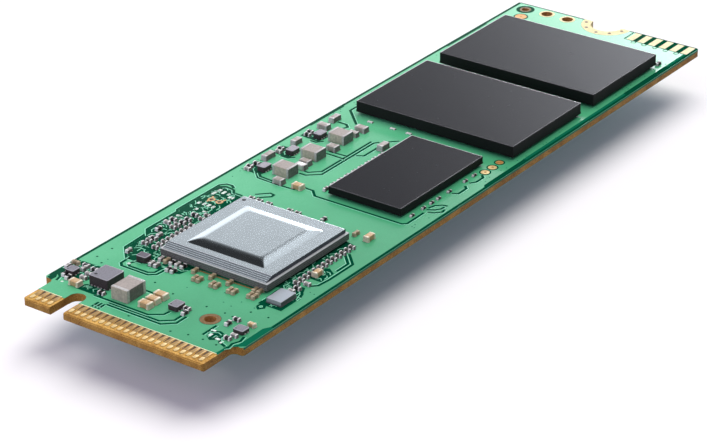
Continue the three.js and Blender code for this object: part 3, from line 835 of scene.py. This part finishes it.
# Short tracks and tinned dots that fan out between the crowded parts.
def makeFineTracks(spec):
    shape = newShape()
    top = deck + spec["lift"]
    grounds = copperAndShadePlan["areas"]
    sizes = [abs(sum(a[0] * b[1] - b[0] * a[1] for a, b in zip(o, o[1:] + o[:1]))) for o in grounds]
    made = 0
    while made < spec["count"]:
        outline = dice.choices(grounds, sizes)[0]
        x = dice.uniform(min(p[0] for p in outline), max(p[0] for p in outline))
        y = dice.uniform(min(p[1] for p in outline), max(p[1] for p in outline))
        heading = dice.choice((0, 45, 90, 135, 180, 270))
        path = [(x, y)]
        for turn in (0, dice.choice((-45, 45, 90))):
            angle = math.radians(heading + turn)
            step = dice.uniform(*spec["reach"])
            path.append((path[-1][0] + step * math.cos(angle), path[-1][1] + step * math.sin(angle)))
        if not all(insideOutline(p, outline) for p in path):
            continue
        addRibbon(shape, path, spec["width"], printLow, top, 0)
        if made % 3 == 0:
            addDisc(shape, *path[-1], 0.1, printLow, top + 0.003, 1, 10)
        made += 1
    return makePiece("fine_tracks", shape, ["lightTrack", "padTin"])


makeFineTracks(fineTracks)

edgePullbackAndShade = {
    "edge": 0.3,
    "inset": 0.02,
    "lift": 0.004,
    # where the painted shade along the -Y edge begins
    "paintedShadeFrom": 7.6,
    "ease": 0.18,
    # where the dark edge steps inwards: from x, to x, how deep, which side
    "steps": [(0.7, 7.8, 0.55, -1), (25.9, 34.2, 0.62, -1), (2.0, 7.8, 0.42, 1), (25.6, 33.2, 0.42, 1)],
    "farSpans": [(2.8, 10.8), (-10.8, -2.8)],
}


# Where the copper stops short of the card's edge, the coat over bare laminate is darker; beside the flash
# packages a wider soft band along the -Y edge is painted shade.
def makeEdgePullbackAndShade(spec):
    shape = newShape()
    top = deck + spec["lift"]
    low = printLow
    y = sideY - spec["inset"]
    wide = spec["edge"]
    past = endX - 0.12
    lower = [(-38.0, -9.6), (-36.5, -9.7), (-35.6, -10.3), (-32.4, -10.3), (-31.8, -10.65)]
    outer = [(-31.8, -y), (-35.6, -y), (-35.9, -10.6), (-36.4, -10.0), (-38.0, -9.88)]
    addPrism(shape, lower + outer, low, top, 1)
    addRibbon(shape, [(-31.8, -y + wide / 2), (past, -y + wide / 2)], wide, low, top, 0)
    # painted shade: a wider soft band along the -Y edge beside the flash packages
    addRibbon(shape, [(spec["paintedShadeFrom"], -y + wide), (past, -y + wide)], 2 * wide, low, top - 0.002, 1)
    addRibbon(shape, [(-35.5, y - wide / 2), (past, y - wide / 2)], wide, low, top, 0)
    for x0, x1, deep, side in spec["steps"]:
        edge = side * y
        inner = side * (y - deep)
        ease = side * (y - deep + spec["ease"])
        outline = [(x0, edge), (x1, edge), (x1, ease), (x1 - 0.2, inner), (x0 + 0.25, inner), (x0, ease)]
        addPrism(shape, outline, low, top + 0.001, 0)
    for y0, y1 in spec["farSpans"]:
        addRibbon(shape, [(endX - 0.1, y0), (endX - 0.1, y1)], 0.15, low, top, 0)
    return makePiece("edge_pullback_and_shade", shape, ["gap", "gapSoft"])


makeEdgePullbackAndShade(edgePullbackAndShade)
print("card ready")

lid = {
    "rim": 0.55,
    "terraces": 5,
    "terraceStep": 0.2,
    "terraceDrop": 0.078,
    "ledge": 0.15,
    "carrierTop": 1.66,
    "crownFoot": 8.7,
    "crownTop": 6.3,
    "footCorner": 0.15,
    "topCorner": 0.45,
    "crownSteps": 12,
    "crownEase": 1.9,
    "dot": (-16.2, 4.4, 0.2),
}


# A flat lid with fine terraces down its tip side, and a crowned middle.
def makeLid(spec):
    low, high = boxOf("controller_lid")
    x, y = middleOf("controller_lid")
    rim = low[2] + spec["rim"]
    nearX = boxOf("controller_substrate")[0][0] + spec["ledge"]
    half = (high[1] - low[1]) / 2
    shape = newShape()
    stairs = [(high[0], spec["carrierTop"] - 0.02), (high[0], rim - 0.03), (high[0] - 0.08, rim)]
    # each wall's paint: the side walls, step risers and lower treads are darker copies of the lid's nickel,
    # painted shade; the outer chamfer and the first step's edge carry a painted highlight
    kinds = [1, 3, 0]
    for i in range(spec["terraces"]):
        start = nearX + spec["terraceStep"] * (spec["terraces"] - 1 - i)
        top = rim - spec["terraceDrop"] * i
        stairs.extend([(start + 0.02, top), (start, top - 0.02)])
        kinds.extend([0 if i else 3, 2])
        if i < spec["terraces"] - 1:
            stairs.append((start, top - spec["terraceDrop"]))
            kinds.append(4)
    stairs.append((nearX, spec["carrierTop"] - 0.02))
    kinds.append(2)
    addExtrusion(shape, stairs, kinds, y - half, y + half, 1)
    paints = ["lid", "lidSide", "lidRiser", "lidGlint", "lidTread"]
    makePiece("lid_flange", shape, paints, ["controller_lid"], 20)

    crown = newShape()
    rise = high[2] - rim
    rings = []
    for i in range(spec["crownSteps"] + 1):
        t = i / spec["crownSteps"]
        size = spec["crownFoot"] + (spec["crownTop"] - spec["crownFoot"]) * t
        corner = spec["footCorner"] + (spec["topCorner"] - spec["footCorner"]) * t
        z = rim - 0.01 + (rise + 0.01) * (1 - (1 - t) ** spec["crownEase"])
        rings.append(roundRing(x, y, size, size, corner, z, 6))
    addLoft(crown, rings, 0)
    addDisc(crown, *spec["dot"], rim - 0.01, rim + 0.004, 1, 20)
    makePiece("lid_crown", crown, ["lid", "mark"], (), 60)


def makeCarrier(spec):
    low, high = boxOf("controller_substrate")
    x, y = middleOf("controller_substrate")
    side = high[0] - low[0]
    shape = newShape()
    addBlock(shape, x, y, side, side, [(0, low[2]), (0, spec["carrierTop"] - 0.05)], 0.1, 0, 3)
    # the rim is painted pale as a painted highlight along the carrier's top edge
    rim = [(0.0, spec["carrierTop"] - 0.06), (0.0, spec["carrierTop"] - 0.02), (0.03, spec["carrierTop"])]
    addBlock(shape, x, y, side, side, rim, 0.1, 1, 3)
    paints = ["carrier", "lidLedge"]
    makePiece("controller_carrier", shape, paints, ["controller_substrate"], 40)


# Solder balls in rows round the package's rim, where they can be seen from the side.
def makeBalls(name, node, pitch, rows, radiusShare=0.42):
    low, high = boxOf(node)
    x, y = middleOf(node)
    tall = high[2] - low[2]
    countX = int((high[0] - low[0]) / pitch)
    countY = int((high[1] - low[1]) / pitch)
    wide = pitch * radiusShare
    shape = newShape()
    for i in range(countX):
        for j in range(countY):
            fromEdge = min(i, j, countX - 1 - i, countY - 1 - j)
            if fromEdge >= rows:
                continue
            cx = x + (i - (countX - 1) / 2) * pitch
            cy = y + (j - (countY - 1) / 2) * pitch
            rings = []
            for k in range(5):
                bulge = math.sin(math.pi * (0.18 + 0.64 * k / 4))
                z = low[2] + tall * k / 4
                rings.append([(px, py, z) for px, py in circle(cx, cy, wide * bulge, 8)])
            addLoft(shape, rings, 0)
    return makePiece(name, shape, ["solder"], [node], 60)


makeLid(lid)
makeCarrier(lid)
makeBalls("controller_balls", "controller_ball_layer", 0.5, 3)
paintNode("controller_die", "silicon")
paintNode("controller_thermal_layer", "paste")
print("controller ready")

package = {"corner": 0.1, "edgeWide": 0.11, "edgeDeep": 0.03}


def makePackage(prefix, spec):
    low, high = boxOf(prefix + "_mould")
    x, y = middleOf(prefix + "_mould")
    size = (high[0] - low[0], high[1] - low[1])
    shape = newShape()
    rings = []
    for inset, z in ((0, low[2]), (0, high[2] - spec["edgeDeep"]), (spec["edgeWide"], high[2])):
        rings.append(roundRing(x, y, size[0] - 2 * inset, size[1] - 2 * inset, spec["corner"], z, 4))
    addLoft(shape, rings, 0)
    # the sides take the side paint; the sloped top edge is painted lighter as a painted highlight,
    # brightest on the edges facing +X and +Y
    around = len(rings[0])
    for i in range(2 * around):
        shape["paints"][i] = 1 if i < around else 2
    paints = ["mould", "mouldSide", "mouldEdge", "mouldGlint"]
    cover = makePiece(prefix + "_cover", shape, paints, [prefix + "_mould"], 15)
    for face in cover.data.polygons:
        if face.material_index == 2 and face.normal.x + face.normal.y > 0.1:
            face.material_index = 3
    makeBalls(prefix + "_balls", prefix + "_ball_layer", 0.8, 2, 0.28)
    paintNode(prefix + "_substrate", "mouldSide")
    paintNode(prefix + "_die_stack", "silicon")


for prefix in ("memory", "flash_near", "flash_far"):
    makePackage(prefix, package)
print("packages ready")

chips = {
    "corner": 0.06,
    "edgeWide": 0.08,
    "edgeDeep": 0.035,
    "leadWidth": 0.16,
    "leadPitch": 0.36,
    "leadOut": 0.08,
    "leadHigh": 0.1,
    "leadEase": 0.03,
}


def makeChip(node, spec, leadSides="y", top="chipMould"):
    low, high = boxOf(node)
    x, y = middleOf(node)
    sizeX = high[0] - low[0]
    sizeY = high[1] - low[1]
    shape = newShape()
    profile = [(0, low[2] + 0.02), (0, high[2] - spec["edgeDeep"]), (spec["edgeWide"], high[2])]
    addBlock(shape, x, y, sizeX, sizeY, profile, spec["corner"] + spec["edgeWide"], 0, 2)
    # the block's faces come ring by ring: first the sides, painted a darker copy of the epoxy as painted
    # shade, then the sloped edge, painted lighter as a painted highlight
    around = (len(shape["paints"]) - 2) // 2
    for i in range(2 * around):
        shape["paints"][i] = 3 if i < around else 4
    runs = []
    if "y" in leadSides:
        runs.append((sizeX, False))
    if "x" in leadSides:
        runs.append((sizeY, True))
    for run, turned in runs:
        count = max(2, int((run - 0.1) / spec["leadPitch"]))
        for i in range(count):
            along = (i - (count - 1) / 2) * spec["leadPitch"]
            for side in (-1, 1):
                reach = side * (sizeX if turned else sizeY) / 2
                place = (x + reach, y + along) if turned else (x + along, y + reach)
                size = (2 * spec["leadOut"], spec["leadWidth"])
                if not turned:
                    size = (size[1], size[0])
                lead = softTop(low[2], low[2] + spec["leadHigh"], spec["leadEase"], 1)
                addBlock(shape, *place, *size, lead, spec["leadEase"], 1, 1)
    dot = min(sizeX, sizeY) * 0.07
    addDisc(shape, x - sizeX * 0.3, y + sizeY * 0.28, dot, high[2] - 0.02, high[2] + 0.002, 2, 12)
    paints = [top, "greyTin", "mark", "chipSide", "chipEdge"]
    return makePiece(node + "_body", shape, paints, [node], 15)


for node in ("load_switch", "monitor_chip", "thermal_sensor"):
    makeChip(node, chips)
makeChip("clock_chip", chips, top="dimMould")
for node in ("regulator_1", "regulator_2", "regulator_3"):
    makeChip(node, chips, top="paleMould")
makeChip("input_regulator", chips, "xy")

inductor = {"endShare": 0.15, "edge": 0.05, "endOut": 0.015, "corner": 0.06}


# Moulded ferrite block between two wrapped metal ends.
def makeInductor(node, along, spec):
    low, high = boxOf(node)
    x, y = middleOf(node)
    sizeX = high[0] - low[0]
    sizeY = high[1] - low[1]
    out = spec["endOut"]
    shape = newShape()
    core = softTop(low[2] + 0.02, high[2] - out, spec["edge"], 3)
    addBlock(shape, x, y, sizeX - 2 * out, sizeY - 2 * out, core, spec["corner"], 0, 3)
    length = sizeX if along == "x" else sizeY
    end = length * spec["endShare"]
    for side in (-1, 1):
        shift = side * (length - end) / 2
        place = (x + shift, y) if along == "x" else (x, y + shift)
        size = (end, sizeY) if along == "x" else (sizeX, end)
        addBlock(shape, *place, *size, softTop(low[2], high[2], spec["edge"], 3), spec["corner"], 1, 3)
    # faces turned to -Y are painted shade; faces turned to the tip are painted a lighter cream, painted
    # light
    paints = ["pinkCeramic", "tin", "creamCeramic", "shadeCeramic"]
    paintedLightAndShade = [(1, 0, 3), (1, 1, 3), (0, 0, 2)] if along == "y" else [(1, 0, 3), (0, 1, 2)]
    return makePiece(node + "_core", shape, paints, [node], 50, paintedLightAndShade)


for node in ("power_inductor_1", "power_inductor_2", "power_inductor_3"):
    makeInductor(node, "y", inductor)
makeInductor("input_inductor", "x", inductor)

can = {"corner": 0.1, "base": 0.12, "inset": 0.04, "edge": 0.04}


def makeCrystal(spec):
    low, high = boxOf("crystal")
    x, y = middleOf("crystal")
    sizeX = high[0] - low[0]
    sizeY = high[1] - low[1]
    shape = newShape()
    base = softTop(low[2], low[2] + spec["base"], 0.03, 1)
    addBlock(shape, x, y, sizeX, sizeY, base, spec["corner"], 1, 3)
    inset = spec["inset"]
    profile = softTop(low[2] + spec["base"] - 0.02, high[2], spec["edge"], 3)
    addBlock(shape, x, y, sizeX - 2 * inset, sizeY - 2 * inset, profile, spec["corner"], 0, 4)
    # walls turned to the tip are painted a lighter grey, painted light; walls turned to -Y are painted
    # dark, painted shade, in the paint the base band shares
    paints = ["can", "canSide", "canFront"]
    return makePiece("crystal_can", shape, paints, ["crystal"], 50, [(1, 0, 1), (0, 0, 2)])


makeCrystal(can)
print("chips, inductors and crystal ready")

chipPart = {
    "endShare": 0.22,
    "endOut": 0.01,
    "edge": 0.05,
    "filletOut": 0.05,
    "filletHigh": 0.35,
    "padOut": 0.08,
}


# One two-ended part: body, two tinned ends, a solder fillet and a pad at each end; the pads are dark green
# as painted shade at the part's foot.
def addTwoEnd(shape, x, y, length, width, height, along, paints, spec):
    bodyPaint, endPaint, padPaint = paints
    out = spec["endOut"]
    edge = min(spec["edge"], height * 0.2) if height > 0.4 else spec["edge"] * 1.5
    scale = min(1, width / 0.5)
    bodySize = (length - 0.06, width - 2 * out) if along == "x" else (width - 2 * out, length - 0.06)
    addBlock(shape, x, y, *bodySize, softTop(deck + 0.02, deck + height - out, edge, 2), edge, bodyPaint, 2)
    end = length * spec["endShare"]
    for side in (-1, 1):
        shift = side * (length - end) / 2
        place = (x + shift, y) if along == "x" else (x, y + shift)
        size = (end, width) if along == "x" else (width, end)
        addBlock(shape, *place, *size, softTop(deck + 0.004, deck + height, edge, 2), edge, endPaint, 2)
        flare = spec["filletOut"] * scale
        profile = [(-flare, deck - 0.002), (-flare * 0.45, deck + height * 0.12),
                   (-flare * 0.12, deck + height * spec["filletHigh"])]
        addBlock(shape, *place, *size, profile, edge, endPaint, 2)
        # the pad's dark green is painted shade at the part's foot
        pad = spec["padOut"] * scale
        padSize = (size[0] + 2 * pad, size[1] + pad) if along == "x" else (size[0] + pad, size[1] + 2 * pad)
        addFlat(shape, *place, *padSize, deck + 0.006, 0.05, padPaint)


bigCaps = {
    "tan": ["input_capacitor_1", "input_capacitor_2", "input_capacitor_3", "edge_capacitor",
            "crystal_capacitor", "core_capacitor", "rail_capacitor"],
    "pink": ["memory_capacitor"]
            + ["upper_capacitor_" + str(i) for i in range(1, 5)]
            + ["lower_capacitor_" + str(i) for i in (1, 3, 4, 5, 6)],
    "bright": ["lower_capacitor_2"],
}
capPaints = {
    "tan": ["tanCeramic", "warmTin", "padTin"],
    "pink": ["pinkCeramic", "tin", "padTin", "shadeCeramic"],
    "bright": ["brightTin", "tin", "padTin", "shadeCeramic"],
}


def makeBigCap(node, tone):
    x, y = middleOf(node)
    sizeX, sizeY, height = sizeOf(node)
    along = "x" if sizeX > sizeY else "y"
    length, width = max(sizeX, sizeY), min(sizeX, sizeY)
    shape = newShape()
    addTwoEnd(shape, x, y, length, width, height, along, (0, 1, 2), chipPart)
    paintedLightAndShade = [(1, 0, 3), (1, 1, 3)] if tone != "tan" else []
    return makePiece(node + "_body", shape, capPaints[tone], [node], 50, paintedLightAndShade)


for tone, nodes in bigCaps.items():
    for node in nodes:
        makeBigCap(node, tone)

smallPart = {**chipPart, "endShare": 0.3}
# for each tone, the length, width and height, and the paints of the body, ends and pads:
# t tan, g grey, d dark, m low dark, s the close-set rows, b low and bright, c cream
smallKinds = {
    "t": ((0.8, 0.38, 0.34), (0, 5, 4)),
    "g": ((0.68, 0.38, 0.3), (1, 3, 4)),
    "d": ((0.7, 0.4, 0.3), (2, 3, 4)),
    "m": ((0.55, 0.3, 0.2), (2, 3, 4)),
    "s": ((0.66, 0.34, 0.3), (6, 3, 4)),
    "b": ((0.62, 0.3, 0.12), (3, 3, 4)),
    "c": ((0.75, 0.45, 0.34), (8, 9, 4)),
}

# x, y, then which way the ends lie and the tone
smallParts = {
    "controller_row_above": [(-26.4 + 0.645 * i, 6.45, "ys") for i in range(9)]
        + [(-19.7, 6.55, "ys"), (-18.9, 6.55, "ys"), (-19.4, 7.6, "yd")],
    "controller_row_below": [(-24.44 + 0.675 * i, -7.85, "ys") for i in range(13)]
        + [(-25.9, -8.4, "yg"), (-25.2, -8.5, "yd"), (-24.1, -8.75, "yg"),
           (-14.0, -6.6, "xt")],
    "controller_row_left": [(x, y - 1.93 * i, "xt")
                            for i in range(3) for x, y in ((-27.8, 0.75), (-28.85, -0.12), (-28.85, -0.62))]
        + [(-28.55, -5.95, "xt"), (-28.55, -6.45, "xt"), (-27.55, -5.75, "xt"),
           (-27.55, -6.25, "xt")]
        + [(-27.75, 4.6 - 0.62 * i, "x" + "gtdgd"[i]) for i in range(5)]
        + [(-28.9, 4.75, "xg"), (-28.9, 4.2, "xg"), (-28.9, 2.85, "xd"),
           (-28.9, 2.3, "xd")],
    "controller_row_right": [(-13.75, y, "ys") for y in (5.4, 4.5, 3.4, 1.0, 0.1)]
        + [(-13.4, -2.55, "xd")],
    "upper_group": [
        (-23.4, 8.55, "xd"), (-22.0, 8.7, "yg"), (-21.25, 8.6, "yd"), (-22.45, 7.65, "ys"),
        (-21.85, 7.65, "ys"), (-21.2, 7.55, "yd"), (-20.5, 7.5, "yd"), (-26.3, 7.75, "ys"),
        (-25.7, 7.75, "ys"), (-25.1, 7.7, "yd"), (-28.2, 8.0, "xg"), (-24.3, 7.7, "xg"),
    ],
    "connector_group": [
        (-33.5, 10.5, "xg"), (-32.65, 10.3, "yt"), (-32.55, 9.2, "yd"), (-34.75, 9.7, "xd"),
        (-35.05, 9.1, "xd"), (-34.35, 7.95, "yg"), (-33.6, 8.0, "yg"), (-32.7, 8.1, "yd"),
        (-34.2, -3.3, "xd"), (-33.5, -3.0, "yd"), (-35.6, 4.8, "yd"), (-33.05, 9.0, "xg"),
    ],
    "sensor_group": [
        (-33.5, -7.45, "xd"), (-32.55, -7.65, "yd"), (-34.85, -9.2, "yg"), (-35.5, -9.0, "yd"),
        (-32.6, -9.3, "yc"),
    ],
    "memory_row_below": [(x, -8.6, "xm") for x in (-8.08, -6.26, -4.94, -3.84, -2.09, 0.56, 2.04)],
    "memory_row_above": [(-8.3 + 1.1 * i, 1.0, "xs") for i in range(9)],
    "power_group": [
        (-9.1, 9.6, "yg"), (-8.55, 9.75, "yd"), (-7.7, 9.6, "yd"), (-4.4, 9.5, "yg"),
        (-3.8, 9.7, "yd"), (0.2, 9.5, "yd"), (0.8, 9.65, "yd"), (6.1, 6.3, "yb"), (6.1, 3.6, "yb"),
        (6.1, 1.7, "yb"),
    ],
    "flash_group": [(34.1, -9.6, "xd")],
}


def makeSmallParts(name, rows):
    shape = newShape()
    for x, y, (along, tone) in rows:
        sizes, slots = smallKinds[tone]
        addTwoEnd(shape, x, y, *sizes, along, slots, smallPart)
    paints = ["brownCeramic", "greyCeramic", "darkCeramic", "smallTin", "padTin", "khakiTin", "rowCeramic",
              "shadeCeramic", "tanCeramic", "warmTin"]
    return makePiece(name, shape, paints, (), 50, [(1, 3, 7), (1, 1, 7)])


for name, rows in smallParts.items():
    makeSmallParts(name, rows)
print("capacitors and resistors ready")

pads = {
    "lift": 0.012,
    # x, y, hole radius, ring radius, ring finish
    "rings": [(-33.65, -5.65, 0.6, 0.92, "copper"), (38.6, 9.35, 0.45, 0.62, "copper"),
              (38.85, 6.8, 0.65, 0.83, "seatGold"), (38.85, 4.25, 0.65, 0.83, "seatGold")],
    "outerRings": [(-33.65, -5.65, 0.92, 0.97, "padTin"), (38.6, 9.35, 0.62, 0.98, "gap")],
    "discs": [(36.7, 8.7, 0.62, "orangeLand"), (3.28, -9.0, 0.42, "goldTip"), (4.52, -9.0, 0.42, "goldTip"),
              (5.8, -8.95, 0.38, "barrel")],
    "edgeCount": 6,
    "edgeFirst": -3.95,
    "edgePitch": 1.27,
    "edgeWide": 0.74,
    "edgeX": (37.95, 39.82),
    "dotHole": 0.13,
    "moat": (0.02, 0.16),  # where the bare ring round a disc begins and ends, outside it
    "stopBack": 0.32,  # from the edge pads back to the round stop between them
    "stopRadii": (0.19, 0.2, 0.28),  # its dot, then its ring
    "seatDot": 0.18,
    "goldLine": [(-27.4, 0.5), (-27.38, -6.3)],
    "seatDots": [(39.4, 2.23), (38.21, 1.5), (37.69, 0.0), (38.19, -1.32), (39.4, -2.08)],
}


def makePads(spec):
    top = deck + spec["lift"]
    grooveTop = deck + 0.006
    names = ["copper", "padGold", "barrel", "gap", "fingerGap", "padTin", "seatGold", "orangeLand",
             "lightTrack", "goldTip"]
    paint = {name: i for i, name in enumerate(names)}
    shape = newShape()
    for x, y, inner, outer, finish in spec["rings"]:
        addRing(shape, x, y, inner - 0.05, outer, printLow, top, paint[finish])
        addRing(shape, x, y, inner - 0.06, inner, deckUnder + 0.005, deck, paint["barrel"])
    for x, y, inner, outer, finish in spec["outerRings"]:
        addRing(shape, x, y, inner, outer, printLow, deck + 0.008, paint[finish])
    for x, y, radius, finish in spec["discs"]:
        addDisc(shape, x, y, radius, printLow, top, paint[finish], 24)
        addDisc(shape, x, y, spec["dotHole"], deck, top + 0.003, paint["barrel"], 12)
        near, far = spec["moat"]
        addRing(shape, x, y, radius + near, radius + far, printLow, grooveTop, paint["gap"], 24)
    x0, x1 = spec["edgeX"]
    middle = (x0 + x1) / 2
    for i in range(spec["edgeCount"]):
        y = spec["edgeFirst"] - spec["edgePitch"] * i
        addFlat(shape, middle, y, x1 - x0, spec["edgeWide"], top, 0.05, paint["padGold"])
        if i < spec["edgeCount"] - 1:
            side = y - spec["edgePitch"] / 2
            wide = spec["edgePitch"] - spec["edgeWide"] - 0.04
            addFlat(shape, middle, side, x1 - x0 + 0.1, wide, grooveTop, 0.04, paint["gap"])
            stop = (x0 - spec["stopBack"], side + 0.02)
            dot, inner, outer = spec["stopRadii"]
            addRing(shape, *stop, inner, outer, printLow, grooveTop, paint["gap"], 16)
            addDisc(shape, *stop, dot, printLow, deck + 0.008, paint["lightTrack"], 16)
    first = spec["edgeFirst"] + spec["edgePitch"] / 2
    addRibbon(shape, [(x0 - 0.05, first), (x1 + 0.05, first)], 0.13, printLow, grooveTop, paint["gap"])
    addRibbon(shape, [(x0 - 0.07, first), (x0 - 0.07, -10.6)], 0.07, printLow, grooveTop, paint["gap"])
    addRibbon(shape, spec["goldLine"], 0.14, printLow, deck + 0.008, paint["barrel"])
    for x, y in spec["seatDots"]:
        addDisc(shape, x, y, spec["seatDot"], padTop - 0.01, padTop + 0.003, paint["fingerGap"], 14)
    return makePiece("pads_and_rings", shape, names, ())


makePads(pads)

openPads = {
    "lift": 0.008,
    "rects": [
        (-17.05, 9.0, 0.5, 0.3), (-17.0, 8.42, 0.5, 0.3), (-17.0, 7.9, 0.5, 0.3),
        (-17.05, 7.35, 0.5, 0.3), (-18.2, 8.4, 0.35, 0.35), (-18.2, 7.4, 0.3, 0.5),
        (-14.7, 9.1, 0.7, 0.3), (-14.0, 9.0, 0.5, 0.35), (-14.15, 8.4, 0.6, 0.3),
        (-14.6, 7.2, 0.45, 0.6), (-14.2, 7.8, 0.4, 0.25), (-20.2, 8.8, 0.3, 0.6),
        (-24.9, 8.2, 0.3, 0.5), (-35.75, -7.35, 0.5, 0.28), (-35.0, -7.1, 0.25, 0.5),
        (-35.95, -8.3, 0.28, 0.5), (-36.2, -8.9, 0.45, 0.22), (-35.8, 9.15, 0.22, 0.25),
        (-29.9, 6.55, 0.3, 0.3),
    ],
    "wellRadius": 0.2,
    "landRadius": 0.37,
    "tabs": [[(-16.15, 8.55), (-16.5, 8.6)], [(-15.6, 7.4), (-15.2, 7.3)], [(-15.6, 8.6), (-15.3, 8.75)]],
    "wells": [(-15.9, 8.45), (-15.9, 7.55)],
}


# The unfilled footprint: bare tinned pads, and two copper lands round wells.
def makeOpenPads(spec):
    shape = newShape()
    top = deck + spec["lift"]
    for x, y, sizeX, sizeY in spec["rects"]:
        addFlat(shape, x, y, sizeX, sizeY, top, 0.08, 0)
    for path in spec["tabs"]:
        addRibbon(shape, path, 0.2, printLow, top + 0.002, 1)
    for x, y in spec["wells"]:
        addRing(shape, x, y, spec["wellRadius"], spec["landRadius"], printLow, top + 0.004, 1, 20)
        addDisc(shape, x, y, spec["wellRadius"] + 0.01, printLow, top, 2, 14)
    return makePiece("open_pads", shape, ["openTin", "landCopper", "fingerGap"], ())


makeOpenPads(openPads)

vias = {
    "radius": 0.11,
    "random": 90,
    "places": [
        (-37.2, 0.4), (-37.2, -4.2), (-36.8, -5.8), (-36.7, -7.3), (-36.8, -8.8), (-32.1, -4.0),
        (-32.1, -6.0), (-32.2, -6.9), (-30.7, -7.7), (-30.6, -9.5), (-30.5, 9.7), (-31.2, 8.6),
        (-35.6, -1.7), (-32.0, -0.2), (-31.3, 2.4), (-28.6, 9.6),
    ],
}


def makeVias(spec):
    shape = newShape()
    for x, y in spec["places"]:
        addDisc(shape, x, y, spec["radius"], printLow, deck + 0.003, 0, 10)
    for i in range(spec["random"]):
        along = dice.uniform(-31, 36)
        if along > -12:
            across = dice.choice((-1, 1)) * dice.uniform(9.7, 10.5)
        else:
            across = dice.uniform(-10.3, 10.4)
        addDisc(shape, along, across, spec["radius"] * 0.65, printLow, deck + 0.003, 1, 8)
    return makePiece("vias", shape, ["gap", "gapSoft"], ())


makeVias(vias)
print("pads and vias ready")
